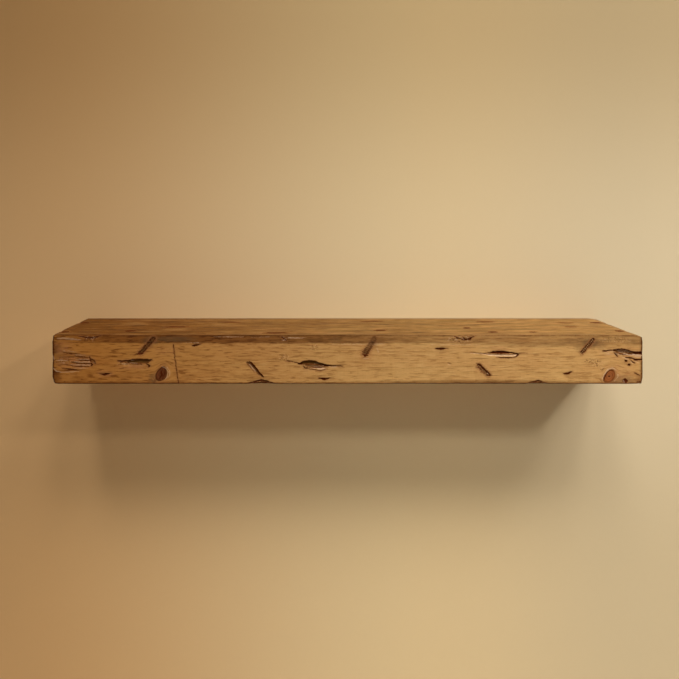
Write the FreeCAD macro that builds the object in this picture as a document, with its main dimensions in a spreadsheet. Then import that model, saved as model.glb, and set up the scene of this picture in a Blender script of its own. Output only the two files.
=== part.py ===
"""Floating wall shelf: a hollow box beam of pine boards that hooks over a bar screwed to the wall.

Frame: +X runs along the shelf to the right, the wall is the plane Y = 0 with the room on the -Y side, and +Z
is up. The origin is on the wall plane, at the middle of the row of screw holes in the wall bar. Lengths are
millimetres.
"""

import FreeCAD, Part
import math
import os
import re

import Sketcher
from FreeCAD import Placement, Rotation, Vector

# ----------------------------------------------------------------------------
# Driving dimensions
# ----------------------------------------------------------------------------

SIZES = {
    # the beam as a whole
    "shelf_length": 1524,
    "shelf_depth": 229,
    "shelf_height": 127,
    "edge_radius": 2.5,
    # the boards of the box
    "top_thickness": 19,
    "front_thickness": 19,
    "end_thickness": 19,
    "bottom_thickness": 19,
    # the frame inside
    "bay_count": 5,
    "rib_thickness": 19,
    "rail_thickness": 19,
    "upper_rail_height": 45,
    "lower_rail_height": 25,
    "cleat_size": 19,
    "block_leg": 19,
    "block_length": 60,
    "corner_block_size": 22,
    # the hooked bars, one on the wall and one on the shelf
    "bar_length": 1320,
    "bar_thickness": 3,
    "bar_web": 19,
    "hook_depth": 12,
    "hook_clearance": 0.3,
    "lip_radius": 0.8,
    "bar_top_gap": 1.5,
    "stud_pitch": 406.4,
    "wall_hole_count": 4,
    "wall_hole_diameter": 5.5,
    "bar_hole_diameter": 4.6,
    "bar_screw_count": 6,
    "bar_screw_inset": 40,
    # the rubber bumpers that keep the lower rail off the wall
    "bumper_count": 4,
    "bumper_diameter": 12,
    "bumper_inset": 60,
    "bumper_rise": 8,
    "bumper_chamfer": 1.5,
    # dowels in the butt joints
    "dowel_diameter": 8,
    "dowel_chamfer": 1,
    "dowel_in_face": 12,
    "dowel_in_edge": 18,
    "hole_relief": 1,
    "front_dowel_count": 7,
    "front_dowel_inset": 90,
    "end_dowel_inset": 50,
    "corner_dowel_inset": 30,
    # wood screws
    "screw_diameter": 4,
    "screw_tip": 6,
    "countersunk_head_diameter": 8,
    "countersunk_head_height": 2.4,
    "bottom_screw_length": 34,
    "rib_screw_length": 45,
    "rib_screw_edge": 8,
    "cleat_screw_length": 30,
    "pan_head_diameter": 8,
    "pan_head_height": 2.4,
    "pan_head_chamfer": 0.9,
    "pan_screw_length": 19,
    "recess_span": 4.2,
    "recess_width": 1.1,
    "recess_depth": 1.5,
    "hole_play": 0.1,
}

# ----------------------------------------------------------------------------
# Places worked out from them, as expressions of the sheet's names
# ----------------------------------------------------------------------------

# Heights. The shelf bar's lip stands on the wall bar's shoulder, and everything above follows from that.
SHOULDER = "(bar_web / 2 + bar_thickness)"
WALL_BAR_TOP = f"({SHOULDER} + hook_depth)"
SHELF_BAR_TOP = f"({WALL_BAR_TOP} + bar_thickness + bar_web)"
UNDER_TOP = f"({SHELF_BAR_TOP} + bar_top_gap)"
TOP = f"({UNDER_TOP} + top_thickness)"
BOTTOM = f"({TOP} - shelf_height)"
FLOOR = f"({BOTTOM} + bottom_thickness)"
CLEAT_TOP = f"({FLOOR} + cleat_size)"
UPPER_RAIL_BOTTOM = f"({UNDER_TOP} - upper_rail_height)"
LOWER_RAIL_TOP = f"({FLOOR} + lower_rail_height)"

# Distances from the wall, which are negative in Y.
WALL = "0"
HOOK_OFFSET = "(bar_thickness + 2 * hook_clearance)"
SHELF_BAR_REAR = f"(-(hook_clearance + {HOOK_OFFSET}))"
RAIL_REAR = f"({SHELF_BAR_REAR} - bar_thickness)"
RAIL_FRONT = f"({RAIL_REAR} - rail_thickness)"
FRONT = "(-shelf_depth)"
FRONT_INNER = "(-shelf_depth + front_thickness)"
CLEAT_REAR = f"({FRONT_INNER} + cleat_size)"

# Places along the shelf.
INNER_HALF = "(shelf_length / 2 - end_thickness)"
INNER_LENGTH = f"(2 * {INNER_HALF})"
BAY = f"({INNER_LENGTH} / bay_count)"
END_MIDDLE = "(shelf_length / 2 - end_thickness / 2)"

UP = Rotation()
DOWN = Rotation(Vector(1, 0, 0), 180)
FORWARD = Rotation(Vector(1, 0, 0), 90)
BACKWARD = Rotation(Vector(1, 0, 0), -90)

doc = FreeCAD.newDocument("floating_wall_shelf")


def make_sheet():
    """The spreadsheet that holds every driving dimension, one aliased cell each."""
    sheet = doc.addObject("Spreadsheet::Sheet", "sizes")
    for row, (name, value) in enumerate(SIZES.items(), start=1):
        sheet.set(f"A{row}", name)
        sheet.set(f"B{row}", str(value))
        sheet.setAlias(f"B{row}", name)
    doc.recompute()
    return sheet


def bind(target, prop, text):
    """Binds a property to an expression in which bare names are cells of the sheet."""
    target.setExpression(prop, re.sub(r"[a-z][a-z_]+", lambda name: "sizes." + name.group(), text))


def place(target, x, y, z, rotation=UP):
    """Turns an object and binds its place to three expressions."""
    target.Placement = Placement(Vector(), rotation)
    for axis, text in zip("xyz", (x, y, z)):
        bind(target, f".Placement.Base.{axis}", text)


def datum(body, role):
    """One of a body's own origin planes or axes, such as YZ_Plane or X_Axis."""
    return next(f for f in body.Origin.OriginFeatures if f.Role == role)


# ----------------------------------------------------------------------------
# Ways of making a piece
# ----------------------------------------------------------------------------


def polygon(body, name, plane, corners):
    """A closed sketch on one of the body's planes, with its corners bound to expressions."""
    sketch = body.newObject("Sketcher::SketchObject", name)
    sketch.AttachmentSupport = [(datum(body, plane), "")]
    sketch.MapMode = "FlatFace"
    count = len(corners)
    # It is drawn as a regular polygon, and its constraints then carry each corner to its place.
    turns = [2 * math.pi * n / count for n in range(count)]
    ring = [Vector(math.cos(turn), math.sin(turn), 0) for turn in turns]
    for n in range(count):
        sketch.addGeometry(Part.LineSegment(ring[n], ring[(n + 1) % count]), False)
    for n in range(count):
        sketch.addConstraint(Sketcher.Constraint("Coincident", n, 2, (n + 1) % count, 1))
    for n, corner in enumerate(corners):
        for kind, start, text in zip(("DistanceX", "DistanceY"), ring[n], corner):
            number = sketch.addConstraint(Sketcher.Constraint(kind, -1, 1, n, 1, float(start)))
            bind(sketch, f"Constraints[{number}]", text)
    doc.recompute()
    return sketch


def make_body(label):
    body = doc.addObject("PartDesign::Body", label)
    body.Label = label
    return body


def section(label, corners, length, start=None):
    """A body with one cross-section, padded along X: from start, or evenly about the middle."""
    body = make_body(label)
    sketch = polygon(body, label + "_section", "YZ_Plane", corners)
    pad = body.newObject("PartDesign::Pad", label + "_length")
    pad.Profile = sketch
    bind(pad, "Length", length)
    if start is None:
        pad.SideType = "Symmetric"
    else:
        bind(sketch, ".AttachmentOffset.Base.z", start)
    doc.recompute()
    return body


def box(label, rear, front, low, high, length, start=None):
    """A board with a rectangular cross-section between those expressions."""
    corners = [(front, low), (rear, low), (rear, high), (front, high)]
    return section(label, corners, length, start)


def rim(shape, *corners):
    """The names of the edges that lie on two named sides of a shape's bounding box, such as "front top"."""
    limits = shape.BoundBox
    sides = {
        "left": ("x", limits.XMin),
        "right": ("x", limits.XMax),
        "front": ("y", limits.YMin),
        "back": ("y", limits.YMax),
        "bottom": ("z", limits.ZMin),
        "top": ("z", limits.ZMax),
    }
    found = []
    for number, edge in enumerate(shape.Edges, start=1):
        ends = [vertex.Point for vertex in edge.Vertexes]
        on = {side for side, (axis, at) in sides.items()
              if all(abs(getattr(point, axis) - at) < 1e-6 for point in ends)}
        if any(set(corner.split()) <= on for corner in corners):
            found.append(f"Edge{number}")
    return found


def round_edges(body, radius, *corners):
    """Fillets the edges where two named sides of the body meet."""
    base = body.Tip
    names = rim(base.Shape, *corners)
    fillet = body.newObject("PartDesign::Fillet", body.Label + "_eased_edges")
    fillet.Base = (base, names)
    bind(fillet, "Radius", radius)
    doc.recompute()


def repeat(body, feature, *rows):
    """Repeats a feature along one or two of the body's axes. A row is (axis, length, count)."""
    if not rows:
        return
    pattern = body.newObject("PartDesign::LinearPattern", feature.Name + "_row")
    pattern.Originals = [feature]
    for suffix, (axis, length, count) in zip(("", "2"), rows):
        setattr(pattern, "Direction" + suffix, (datum(body, axis), [""]))
        setattr(pattern, "Mode" + suffix, "Extent")
        bind(pattern, "Length" + suffix, length)
        bind(pattern, "Occurrences" + suffix, count)
    body.Tip = pattern
    doc.recompute()


def bore(body, name, diameter, depth, at, rotation, *rows):
    """Drills a round hole from a point, in the direction that the rotation gives to +Z, and repeats it."""
    hole = body.newObject("PartDesign::SubtractiveCylinder", f"{body.Label}_{name}")
    bind(hole, "Radius", f"({diameter}) / 2")
    bind(hole, "Height", depth)
    place(hole, *at, rotation)
    doc.recompute()
    repeat(body, hole, *rows)


def countersink(body, name, at, rotation, *rows):
    """Cuts the conical seat of a countersunk screw head, and repeats it."""
    seat = body.newObject("PartDesign::SubtractiveCone", f"{body.Label}_{name}")
    bind(seat, "Radius1", "(countersunk_head_diameter + hole_play) / 2")
    bind(seat, "Radius2", "(screw_diameter + hole_play) / 2")
    bind(seat, "Height", "countersunk_head_height")
    place(seat, *at, rotation)
    doc.recompute()
    repeat(body, seat, *rows)


def turned(label, profile, at, rotation, *rows, recess_at=None):
    """Round pieces about +Z in a body of their own: a half profile revolved, set in place and repeated."""
    body = make_body(label)
    sketch = polygon(body, label + "_profile", "XZ_Plane", profile)
    turn = body.newObject("PartDesign::Revolution", label + "_turned")
    turn.Profile = sketch
    turn.ReferenceAxis = (sketch, ["V_Axis"])
    turn.Angle = 360
    doc.recompute()
    repeat(body, turn, *rows)
    if recess_at is not None:
        cut_recess(body, recess_at, *rows)
    place(body, *at, rotation)
    doc.recompute()
    return body


def cut_recess(body, height, *rows):
    """Cuts the cross recess into each screw head, down from that height on the screw's axis."""
    slots = (("slot_a", "recess_span", "recess_width"), ("slot_b", "recess_width", "recess_span"))
    for name, width_x, width_y in slots:
        slot = body.newObject("PartDesign::SubtractiveBox", f"{body.Label}_{name}")
        bind(slot, "Length", width_x)
        bind(slot, "Width", width_y)
        bind(slot, "Height", "recess_depth")
        place(slot, f"-{width_x} / 2", f"-{width_y} / 2", height)
        doc.recompute()
        repeat(body, slot, *rows)


# ----------------------------------------------------------------------------
# Rows that more than one piece shares: first place, direction and rows
# ----------------------------------------------------------------------------

BOTTOM_SCREW_Y = f"({FRONT_INNER} + cleat_size / 2)"
BOTTOM_SCREWS_X = ("X_Axis", f"{BAY} * (bay_count - 1)", "bay_count")
BOTTOM_SCREWS_Y = ("Y_Axis", f"({RAIL_REAR} - rail_thickness / 2) - {BOTTOM_SCREW_Y}", "2")
BAY_MIDDLE = f"(-{BAY} * (bay_count - 1) / 2)"
END_SCREW_X = f"({INNER_HALF} - cleat_size / 2)"
END_SCREW_Y = f"(({CLEAT_REAR} + {RAIL_FRONT}) / 2)"
END_SCREWS = ("X_Axis", f"2 * {END_SCREW_X}", "2")

RIB_FIRST = f"(-{BAY} * (bay_count - 2) / 2)"
RIBS = ("X_Axis", f"{BAY} * (bay_count - 2)", "bay_count - 1")
LOWER_RIB_SCREW_Z = f"({FLOOR} + lower_rail_height / 2)"
UPPER_RIB_SCREW_Z = f"({UPPER_RAIL_BOTTOM} + rib_screw_edge)"

HALF_BAY_FIRST = f"(-{INNER_HALF} + {BAY} / 4)"
HALF_BAYS = ("X_Axis", f"{INNER_LENGTH} - {BAY} / 2", "2 * bay_count")
CLEAT_SCREW_Z = f"({FLOOR} + cleat_size / 2)"

BAR_SCREW_FIRST = "(-bar_length / 2 + bar_screw_inset)"
BAR_SCREWS = ("X_Axis", "bar_length - 2 * bar_screw_inset", "bar_screw_count")
BAR_SCREW_Z = f"({SHELF_BAR_TOP} - bar_web / 2)"

FRONT_DOWEL_FIRST = "(-shelf_length / 2 + front_dowel_inset)"
FRONT_DOWELS = ("X_Axis", "shelf_length - 2 * front_dowel_inset", "front_dowel_count")
FRONT_DOWEL_Y = "(-shelf_depth + front_thickness / 2)"
END_DOWEL_Y = f"({FRONT_INNER} + end_dowel_inset)"
ENDS = ("X_Axis", f"2 * {END_MIDDLE}", "2")
END_DOWELS_Y = ("Y_Axis", "shelf_depth - front_thickness - 2 * end_dowel_inset", "2")
CORNER_DOWEL_Z = f"({BOTTOM} + corner_dowel_inset)"
CORNER_DOWEL_SPAN = "shelf_height - top_thickness - 2 * corner_dowel_inset"

DOWEL_HOLE = "dowel_diameter + hole_play"
DOWEL_FACE_HOLE = "dowel_in_face + hole_relief"
DOWEL_EDGE_HOLE = "dowel_in_edge + hole_relief"
SCREW_HOLE = "screw_diameter + hole_play"
BOTTOM_SCREW_HOLE = "bottom_screw_length - bottom_thickness + hole_relief"

# ----------------------------------------------------------------------------
# The boards of the box
# ----------------------------------------------------------------------------


def make_top_board():
    """The full-size top, with its edges showing at the front and the ends."""
    board = box("top_board", WALL, FRONT, UNDER_TOP, TOP, "shelf_length")
    round_edges(board, "edge_radius", "front top", "left top", "right top", "front left", "front right")
    bore(board, "front_dowel_holes", DOWEL_HOLE, DOWEL_FACE_HOLE,
         (FRONT_DOWEL_FIRST, FRONT_DOWEL_Y, UNDER_TOP), UP, FRONT_DOWELS)
    bore(board, "end_dowel_holes", DOWEL_HOLE, DOWEL_FACE_HOLE,
         (f"-{END_MIDDLE}", END_DOWEL_Y, UNDER_TOP), UP, ENDS, END_DOWELS_Y)


def make_front_board():
    """The front, full length, flush under the top board and covering the ends' front edges."""
    board = box("front_board", FRONT_INNER, FRONT, BOTTOM, UNDER_TOP, "shelf_length")
    round_edges(board, "edge_radius",
                "front bottom", "left bottom", "right bottom", "front left", "front right")
    bore(board, "top_dowel_holes", DOWEL_HOLE, DOWEL_EDGE_HOLE,
         (FRONT_DOWEL_FIRST, FRONT_DOWEL_Y, UNDER_TOP), DOWN, FRONT_DOWELS)
    bore(board, "corner_dowel_holes", DOWEL_HOLE, DOWEL_FACE_HOLE,
         (f"-{END_MIDDLE}", FRONT_INNER, CORNER_DOWEL_Z), FORWARD, ENDS, ("Z_Axis", CORNER_DOWEL_SPAN, "2"))
    bore(board, "cleat_screw_holes", SCREW_HOLE, "cleat_screw_length - cleat_size + hole_relief",
         (HALF_BAY_FIRST, FRONT_INNER, CLEAT_SCREW_Z), FORWARD, HALF_BAYS)


def make_end_boards():
    """The two ends, behind the front board and under the top board."""
    places = (("left", "-shelf_length / 2", f"-{END_MIDDLE}"), ("right", INNER_HALF, END_MIDDLE))
    for side, start, middle in places:
        board = box(f"{side}_end_board", WALL, FRONT_INNER, BOTTOM, UNDER_TOP, "end_thickness", start)
        round_edges(board, "edge_radius", f"{side} bottom")
        bore(board, "top_dowel_holes", DOWEL_HOLE, DOWEL_EDGE_HOLE,
             (middle, END_DOWEL_Y, UNDER_TOP), DOWN, END_DOWELS_Y)
        bore(board, "corner_dowel_holes", DOWEL_HOLE, DOWEL_EDGE_HOLE,
             (middle, FRONT_INNER, CORNER_DOWEL_Z), BACKWARD, ("Z_Axis", CORNER_DOWEL_SPAN, "2"))


def make_bottom_board():
    """The underside, set between the front and the ends and screwed up into the cleats and the lower rail."""
    board = box("bottom_board", WALL, FRONT_INNER, BOTTOM, FLOOR, INNER_LENGTH)
    rows = (BOTTOM_SCREWS_X, BOTTOM_SCREWS_Y)
    at_bay = (BAY_MIDDLE, BOTTOM_SCREW_Y, BOTTOM)
    bore(board, "screw_holes", SCREW_HOLE, "bottom_thickness", at_bay, UP, *rows)
    countersink(board, "screw_seats", at_bay, UP, *rows)
    at_end = (f"-{END_SCREW_X}", END_SCREW_Y, BOTTOM)
    bore(board, "end_screw_holes", SCREW_HOLE, "bottom_thickness", at_end, UP, END_SCREWS)
    countersink(board, "end_screw_seats", at_end, UP, END_SCREWS)


# ----------------------------------------------------------------------------
# The frame inside
# ----------------------------------------------------------------------------


def make_rails():
    """The two rails behind the ribs. The upper one carries the shelf bar, the lower one the bumpers."""
    upper = box("upper_back_rail", RAIL_REAR, RAIL_FRONT, UPPER_RAIL_BOTTOM, UNDER_TOP, INNER_LENGTH)
    lower = box("lower_back_rail", RAIL_REAR, RAIL_FRONT, FLOOR, LOWER_RAIL_TOP, INNER_LENGTH)
    for rail, height in ((upper, UPPER_RIB_SCREW_Z), (lower, LOWER_RIB_SCREW_Z)):
        at_rib = (RIB_FIRST, RAIL_REAR, height)
        bore(rail, "rib_screw_holes", SCREW_HOLE, "rail_thickness", at_rib, FORWARD, RIBS)
        countersink(rail, "rib_screw_seats", at_rib, FORWARD, RIBS)
    bore(upper, "bar_screw_holes", SCREW_HOLE, "pan_screw_length - bar_thickness + hole_relief",
         (BAR_SCREW_FIRST, RAIL_REAR, BAR_SCREW_Z), FORWARD, BAR_SCREWS)
    bore(lower, "bottom_screw_holes", SCREW_HOLE, BOTTOM_SCREW_HOLE,
         (BAY_MIDDLE, f"{RAIL_REAR} - rail_thickness / 2", FLOOR), UP, BOTTOM_SCREWS_X)


def make_ribs():
    """Cross ribs between the bays, each notched over the front cleat."""
    corners = [
        (CLEAT_REAR, FLOOR),
        (RAIL_FRONT, FLOOR),
        (RAIL_FRONT, UNDER_TOP),
        (FRONT_INNER, UNDER_TOP),
        (FRONT_INNER, CLEAT_TOP),
        (CLEAT_REAR, CLEAT_TOP),
    ]
    for number in range(1, int(SIZES["bay_count"])):
        rib = section(f"rib_{number}", corners, "rib_thickness")
        bore(rib, "rail_screw_holes", SCREW_HOLE, "rib_screw_length - rail_thickness + hole_relief",
             ("0", RAIL_FRONT, LOWER_RIB_SCREW_Z), FORWARD,
             ("Z_Axis", f"{UPPER_RIB_SCREW_Z} - {LOWER_RIB_SCREW_Z}", "2"))
        place(rib, f"{RIB_FIRST} + {number - 1} * {BAY}", "0", "0")


def make_cleats():
    """Square strips inside the lower corners, which the bottom board is screwed to."""
    front = box("front_cleat", CLEAT_REAR, FRONT_INNER, FLOOR, CLEAT_TOP, INNER_LENGTH)
    at_half_bay = (HALF_BAY_FIRST, CLEAT_REAR, CLEAT_SCREW_Z)
    bore(front, "cleat_screw_holes", SCREW_HOLE, "cleat_size", at_half_bay, FORWARD, HALF_BAYS)
    countersink(front, "cleat_screw_seats", at_half_bay, FORWARD, HALF_BAYS)
    bore(front, "bottom_screw_holes", SCREW_HOLE, BOTTOM_SCREW_HOLE,
         (BAY_MIDDLE, BOTTOM_SCREW_Y, FLOOR), UP, BOTTOM_SCREWS_X)
    for side, start, screw_x in (("left", f"-{INNER_HALF}", f"-{END_SCREW_X}"),
                                 ("right", f"{INNER_HALF} - cleat_size", END_SCREW_X)):
        cleat = box(f"{side}_end_cleat", RAIL_FRONT, CLEAT_REAR, FLOOR, CLEAT_TOP, "cleat_size", start)
        bore(cleat, "screw_hole", SCREW_HOLE, BOTTOM_SCREW_HOLE, (screw_x, END_SCREW_Y, FLOOR), UP)


def make_glue_blocks():
    """Three-cornered blocks glued under the top board, along the front board and along the upper rail."""
    block_bottom = f"{UNDER_TOP} - block_leg"
    front = [(FRONT_INNER, UNDER_TOP), (FRONT_INNER, block_bottom), (f"{FRONT_INNER} + block_leg", UNDER_TOP)]
    rear = [(RAIL_FRONT, UNDER_TOP), (f"{RAIL_FRONT} - block_leg", UNDER_TOP), (RAIL_FRONT, block_bottom)]
    for label, corners in (("front_glue_blocks", front), ("rail_glue_blocks", rear)):
        blocks = section(label, corners, "block_length", f"{HALF_BAY_FIRST} - block_length / 2")
        repeat(blocks, blocks.Tip, HALF_BAYS)
    for side, start in (("left", f"-{INNER_HALF}"), ("right", f"{INNER_HALF} - corner_block_size")):
        box(f"{side}_corner_block", f"{FRONT_INNER} + corner_block_size", FRONT_INNER,
            CLEAT_TOP, UNDER_TOP, "corner_block_size", start)


# ----------------------------------------------------------------------------
# The bars that hang it, and the bumpers
# ----------------------------------------------------------------------------


def make_wall_bar():
    """The bar on the wall: a flat web with the screw holes, a shoulder, and a lip that stands off it."""
    corners = [
        ("0", "-bar_web / 2"),
        ("0", SHOULDER),
        (f"-{HOOK_OFFSET}", SHOULDER),
        (f"-{HOOK_OFFSET}", WALL_BAR_TOP),
        (f"-{HOOK_OFFSET} - bar_thickness", WALL_BAR_TOP),
        (f"-{HOOK_OFFSET} - bar_thickness", "bar_web / 2"),
        ("-bar_thickness", "bar_web / 2"),
        ("-bar_thickness", "-bar_web / 2"),
    ]
    bar = section("wall_hanger_bar", corners, "bar_length")
    soften_lip(bar, bar.Shape.BoundBox.ZMax)
    bore(bar, "wall_screw_holes", "wall_hole_diameter", "bar_thickness",
         ("-stud_pitch * (wall_hole_count - 1) / 2", "0", "0"), FORWARD,
         ("X_Axis", "stud_pitch * (wall_hole_count - 1)", "wall_hole_count"))


def make_shelf_bar():
    """The same section the other way up, on the upper rail, with its lip hooked behind the wall bar's."""
    web_rear = SHELF_BAR_REAR
    lip_rear = "-hook_clearance"
    corners = [
        (RAIL_REAR, SHELF_BAR_TOP),
        (RAIL_REAR, WALL_BAR_TOP),
        (f"{lip_rear} - bar_thickness", WALL_BAR_TOP),
        (f"{lip_rear} - bar_thickness", SHOULDER),
        (lip_rear, SHOULDER),
        (lip_rear, f"{WALL_BAR_TOP} + bar_thickness"),
        (web_rear, f"{WALL_BAR_TOP} + bar_thickness"),
        (web_rear, SHELF_BAR_TOP),
    ]
    bar = section("shelf_hanger_bar", corners, "bar_length")
    soften_lip(bar, bar.Shape.BoundBox.ZMin)
    bore(bar, "screw_holes", "bar_hole_diameter", "bar_thickness",
         (BAR_SCREW_FIRST, SHELF_BAR_REAR, BAR_SCREW_Z), FORWARD, BAR_SCREWS)


def soften_lip(bar, height):
    """Rounds the two long edges of a bar at that height, which is the tip of its lip."""
    base = bar.Tip
    names = []
    for number, edge in enumerate(base.Shape.Edges, start=1):
        at_height = all(abs(vertex.Point.z - height) < 1e-6 for vertex in edge.Vertexes)
        if at_height and edge.BoundBox.XLength > edge.BoundBox.YLength:
            names.append(f"Edge{number}")
    fillet = bar.newObject("PartDesign::Fillet", bar.Label + "_lip_edges")
    fillet.Base = (base, names)
    bind(fillet, "Radius", "lip_radius")
    doc.recompute()


def make_bumpers():
    """Rubber discs on the lower rail that touch the wall, so that the front doesn't drop."""
    radius = "bumper_diameter / 2"
    height = f"-{RAIL_REAR}"
    profile = [
        ("0", "0"),
        (radius, "0"),
        (radius, f"{height} - bumper_chamfer"),
        (f"{radius} - bumper_chamfer", height),
        ("0", height),
    ]
    turned("wall_bumpers", profile,
           (f"-{INNER_HALF} + bumper_inset", RAIL_REAR, f"{FLOOR} + bumper_rise"), BACKWARD,
           ("X_Axis", f"{INNER_LENGTH} - 2 * bumper_inset", "bumper_count"))


# ----------------------------------------------------------------------------
# Dowels and screws
# ----------------------------------------------------------------------------


def make_dowels():
    """Chamfered dowels: down the front joint, under each end of the top, and in the front corners."""
    radius = "dowel_diameter / 2"
    length = "dowel_in_edge + dowel_in_face"
    profile = [
        ("0", "0"),
        (f"{radius} - dowel_chamfer", "0"),
        (radius, "dowel_chamfer"),
        (radius, f"{length} - dowel_chamfer"),
        (f"{radius} - dowel_chamfer", length),
        ("0", length),
    ]
    under = f"{UNDER_TOP} - dowel_in_edge"
    turned("front_dowels", profile, (FRONT_DOWEL_FIRST, FRONT_DOWEL_Y, under), UP, FRONT_DOWELS)
    turned("end_dowels", profile, (f"-{END_MIDDLE}", END_DOWEL_Y, under), UP, ENDS, END_DOWELS_Y)
    at_corner = (f"-{END_MIDDLE}", f"{FRONT_INNER} + dowel_in_edge", CORNER_DOWEL_Z)
    turned("corner_dowels", profile, at_corner, FORWARD, ENDS, ("Y_Axis", CORNER_DOWEL_SPAN, "2"))


def countersunk(length):
    """The half profile of a countersunk wood screw, with its head's face at zero."""
    shank = "screw_diameter / 2"
    return [
        ("0", "0"),
        ("countersunk_head_diameter / 2", "0"),
        (shank, "countersunk_head_height"),
        (shank, f"{length} - screw_tip"),
        ("0", length),
    ]


def make_screws():
    """The wood screws: through the bottom board, the cleat and the rails, and through the shelf bar."""
    bottom_screw = countersunk("bottom_screw_length")
    turned("bottom_screws", bottom_screw, (BAY_MIDDLE, BOTTOM_SCREW_Y, BOTTOM), UP,
           BOTTOM_SCREWS_X, BOTTOM_SCREWS_Y, recess_at="0")
    turned("bottom_end_screws", bottom_screw, (f"-{END_SCREW_X}", END_SCREW_Y, BOTTOM), UP,
           END_SCREWS, recess_at="0")
    turned("cleat_screws", countersunk("cleat_screw_length"),
           (HALF_BAY_FIRST, CLEAT_REAR, CLEAT_SCREW_Z), FORWARD, HALF_BAYS, recess_at="0")
    turned("rib_screws", countersunk("rib_screw_length"), (RIB_FIRST, RAIL_REAR, LOWER_RIB_SCREW_Z), FORWARD,
           RIBS, ("Y_Axis", f"{UPPER_RIB_SCREW_Z} - {LOWER_RIB_SCREW_Z}", "2"), recess_at="0")
    pan = [
        ("0", "-pan_head_height"),
        ("pan_head_diameter / 2 - pan_head_chamfer", "-pan_head_height"),
        ("pan_head_diameter / 2", "pan_head_chamfer - pan_head_height"),
        ("pan_head_diameter / 2", "0"),
        ("screw_diameter / 2", "0"),
        ("screw_diameter / 2", "pan_screw_length - screw_tip"),
        ("0", "pan_screw_length"),
    ]
    turned("hanger_bar_screws", pan, (BAR_SCREW_FIRST, SHELF_BAR_REAR, BAR_SCREW_Z), FORWARD, BAR_SCREWS,
           recess_at="-pan_head_height")


def write_parts():
    """Checks every object and every body's shape, then writes one STEP file for each body."""
    doc.recompute()
    for item in doc.Objects:
        if {"Invalid", "Error"} & set(item.State):
            raise RuntimeError(f"{item.Label} failed: {item.State}")
    bodies = [item for item in doc.Objects if item.TypeId == "PartDesign::Body"]
    for body in bodies:
        if body.Shape.isNull() or not body.Shape.isValid():
            raise RuntimeError(f"{body.Label} has no valid shape")
    os.makedirs("parts", exist_ok=True)
    for body in bodies:
        body.Shape.exportStep(f"parts/{body.Label}.step")
        size = body.Shape.BoundBox
        print(f"{body.Label:20} {len(body.Shape.Solids):3} solids  {body.Shape.Volume / 1000:9.2f} cm3  "
              f"{size.XLength:.1f} x {size.YLength:.1f} x {size.ZLength:.1f} mm")


make_sheet()
make_top_board()
make_front_board()
make_end_boards()
make_bottom_board()
make_rails()
make_ribs()
make_cleats()
make_glue_blocks()
make_wall_bar()
make_shelf_bar()
make_bumpers()
make_dowels()
make_screws()
write_parts()
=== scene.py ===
"""Looks of a long, thick floating wall shelf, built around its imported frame.

The file is laid out as a Blender add-on: the properties hold the sizes and colours that a user would
change, each operator makes one piece or one group of like pieces, and the panel in the sidebar lists them.

Tables of places are in millimetres in the shelf's own frame: x along it, y into the wall, z up.
"""

import math
from collections import namedtuple

import bpy
import numpy as np
from bpy.props import FloatProperty, FloatVectorProperty, PointerProperty
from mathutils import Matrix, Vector


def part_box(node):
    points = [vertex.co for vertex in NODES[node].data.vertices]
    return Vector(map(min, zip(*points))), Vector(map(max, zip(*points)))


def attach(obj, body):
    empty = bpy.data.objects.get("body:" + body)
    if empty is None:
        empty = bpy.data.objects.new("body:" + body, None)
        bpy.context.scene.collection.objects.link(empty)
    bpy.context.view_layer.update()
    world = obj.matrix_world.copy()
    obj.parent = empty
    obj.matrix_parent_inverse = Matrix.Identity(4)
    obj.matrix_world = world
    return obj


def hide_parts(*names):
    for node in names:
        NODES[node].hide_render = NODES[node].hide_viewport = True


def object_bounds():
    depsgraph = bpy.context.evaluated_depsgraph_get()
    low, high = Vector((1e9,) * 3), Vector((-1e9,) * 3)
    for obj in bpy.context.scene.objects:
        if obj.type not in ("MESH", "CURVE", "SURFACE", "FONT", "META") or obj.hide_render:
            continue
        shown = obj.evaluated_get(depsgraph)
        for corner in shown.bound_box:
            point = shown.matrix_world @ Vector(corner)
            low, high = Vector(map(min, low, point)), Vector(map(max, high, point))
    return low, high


bl_info = {
    "name": "Floating wall shelf",
    "version": (1, 0, 0),
    "blender": (4, 5, 0),
    "location": "3D View > Sidebar > Wall Shelf",
    "description": "Builds the worn boards, the finishes of the inner frame and the stage of a wall shelf",
    "category": "Object",
}

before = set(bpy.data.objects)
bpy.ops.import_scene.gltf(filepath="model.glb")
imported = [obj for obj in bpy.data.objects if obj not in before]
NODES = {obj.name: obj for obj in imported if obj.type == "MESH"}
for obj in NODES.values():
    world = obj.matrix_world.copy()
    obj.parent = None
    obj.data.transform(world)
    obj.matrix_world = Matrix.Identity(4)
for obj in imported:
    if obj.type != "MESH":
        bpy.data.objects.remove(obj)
CAD_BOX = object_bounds()
MM = 1000.0


def cad_box(node):
    """Lowest and highest corner of a CAD node, in millimetres."""
    low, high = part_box(node)
    return np.round(np.array(low) * MM, 3), np.round(np.array(high) * MM, 3)


SHELF_LOW = np.round(np.array(CAD_BOX[0]) * MM, 3)
SHELF_HIGH = np.round(np.array(CAD_BOX[1]) * MM, 3)
LEFT, FRONT, BOTTOM = SHELF_LOW
RIGHT, BACK, TOP = SHELF_HIGH
JOINT = cad_box("top_board")[0][2]


# ---- Marks on the boards ----

# Lines and sizes are in millimetres, and inks, tones and strengths go from 0 to 1.
# A groove follows a line of (x, z, half-width) points. Ink is how dark its floor is, and bark how olive.
Groove = namedtuple("Groove", "line depth ink bark", defaults=(0.0,))
# A cut is a groove whose floor is pale, mostly where the blade went through the stain. Some are painted
# highlights.
Cut = namedtuple("Cut", "line depth pale")
# A crease is a fine line over all that, from dark at a tone of 0 to pale at 1.
Crease = namedtuple("Crease", "line tone strength")
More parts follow.
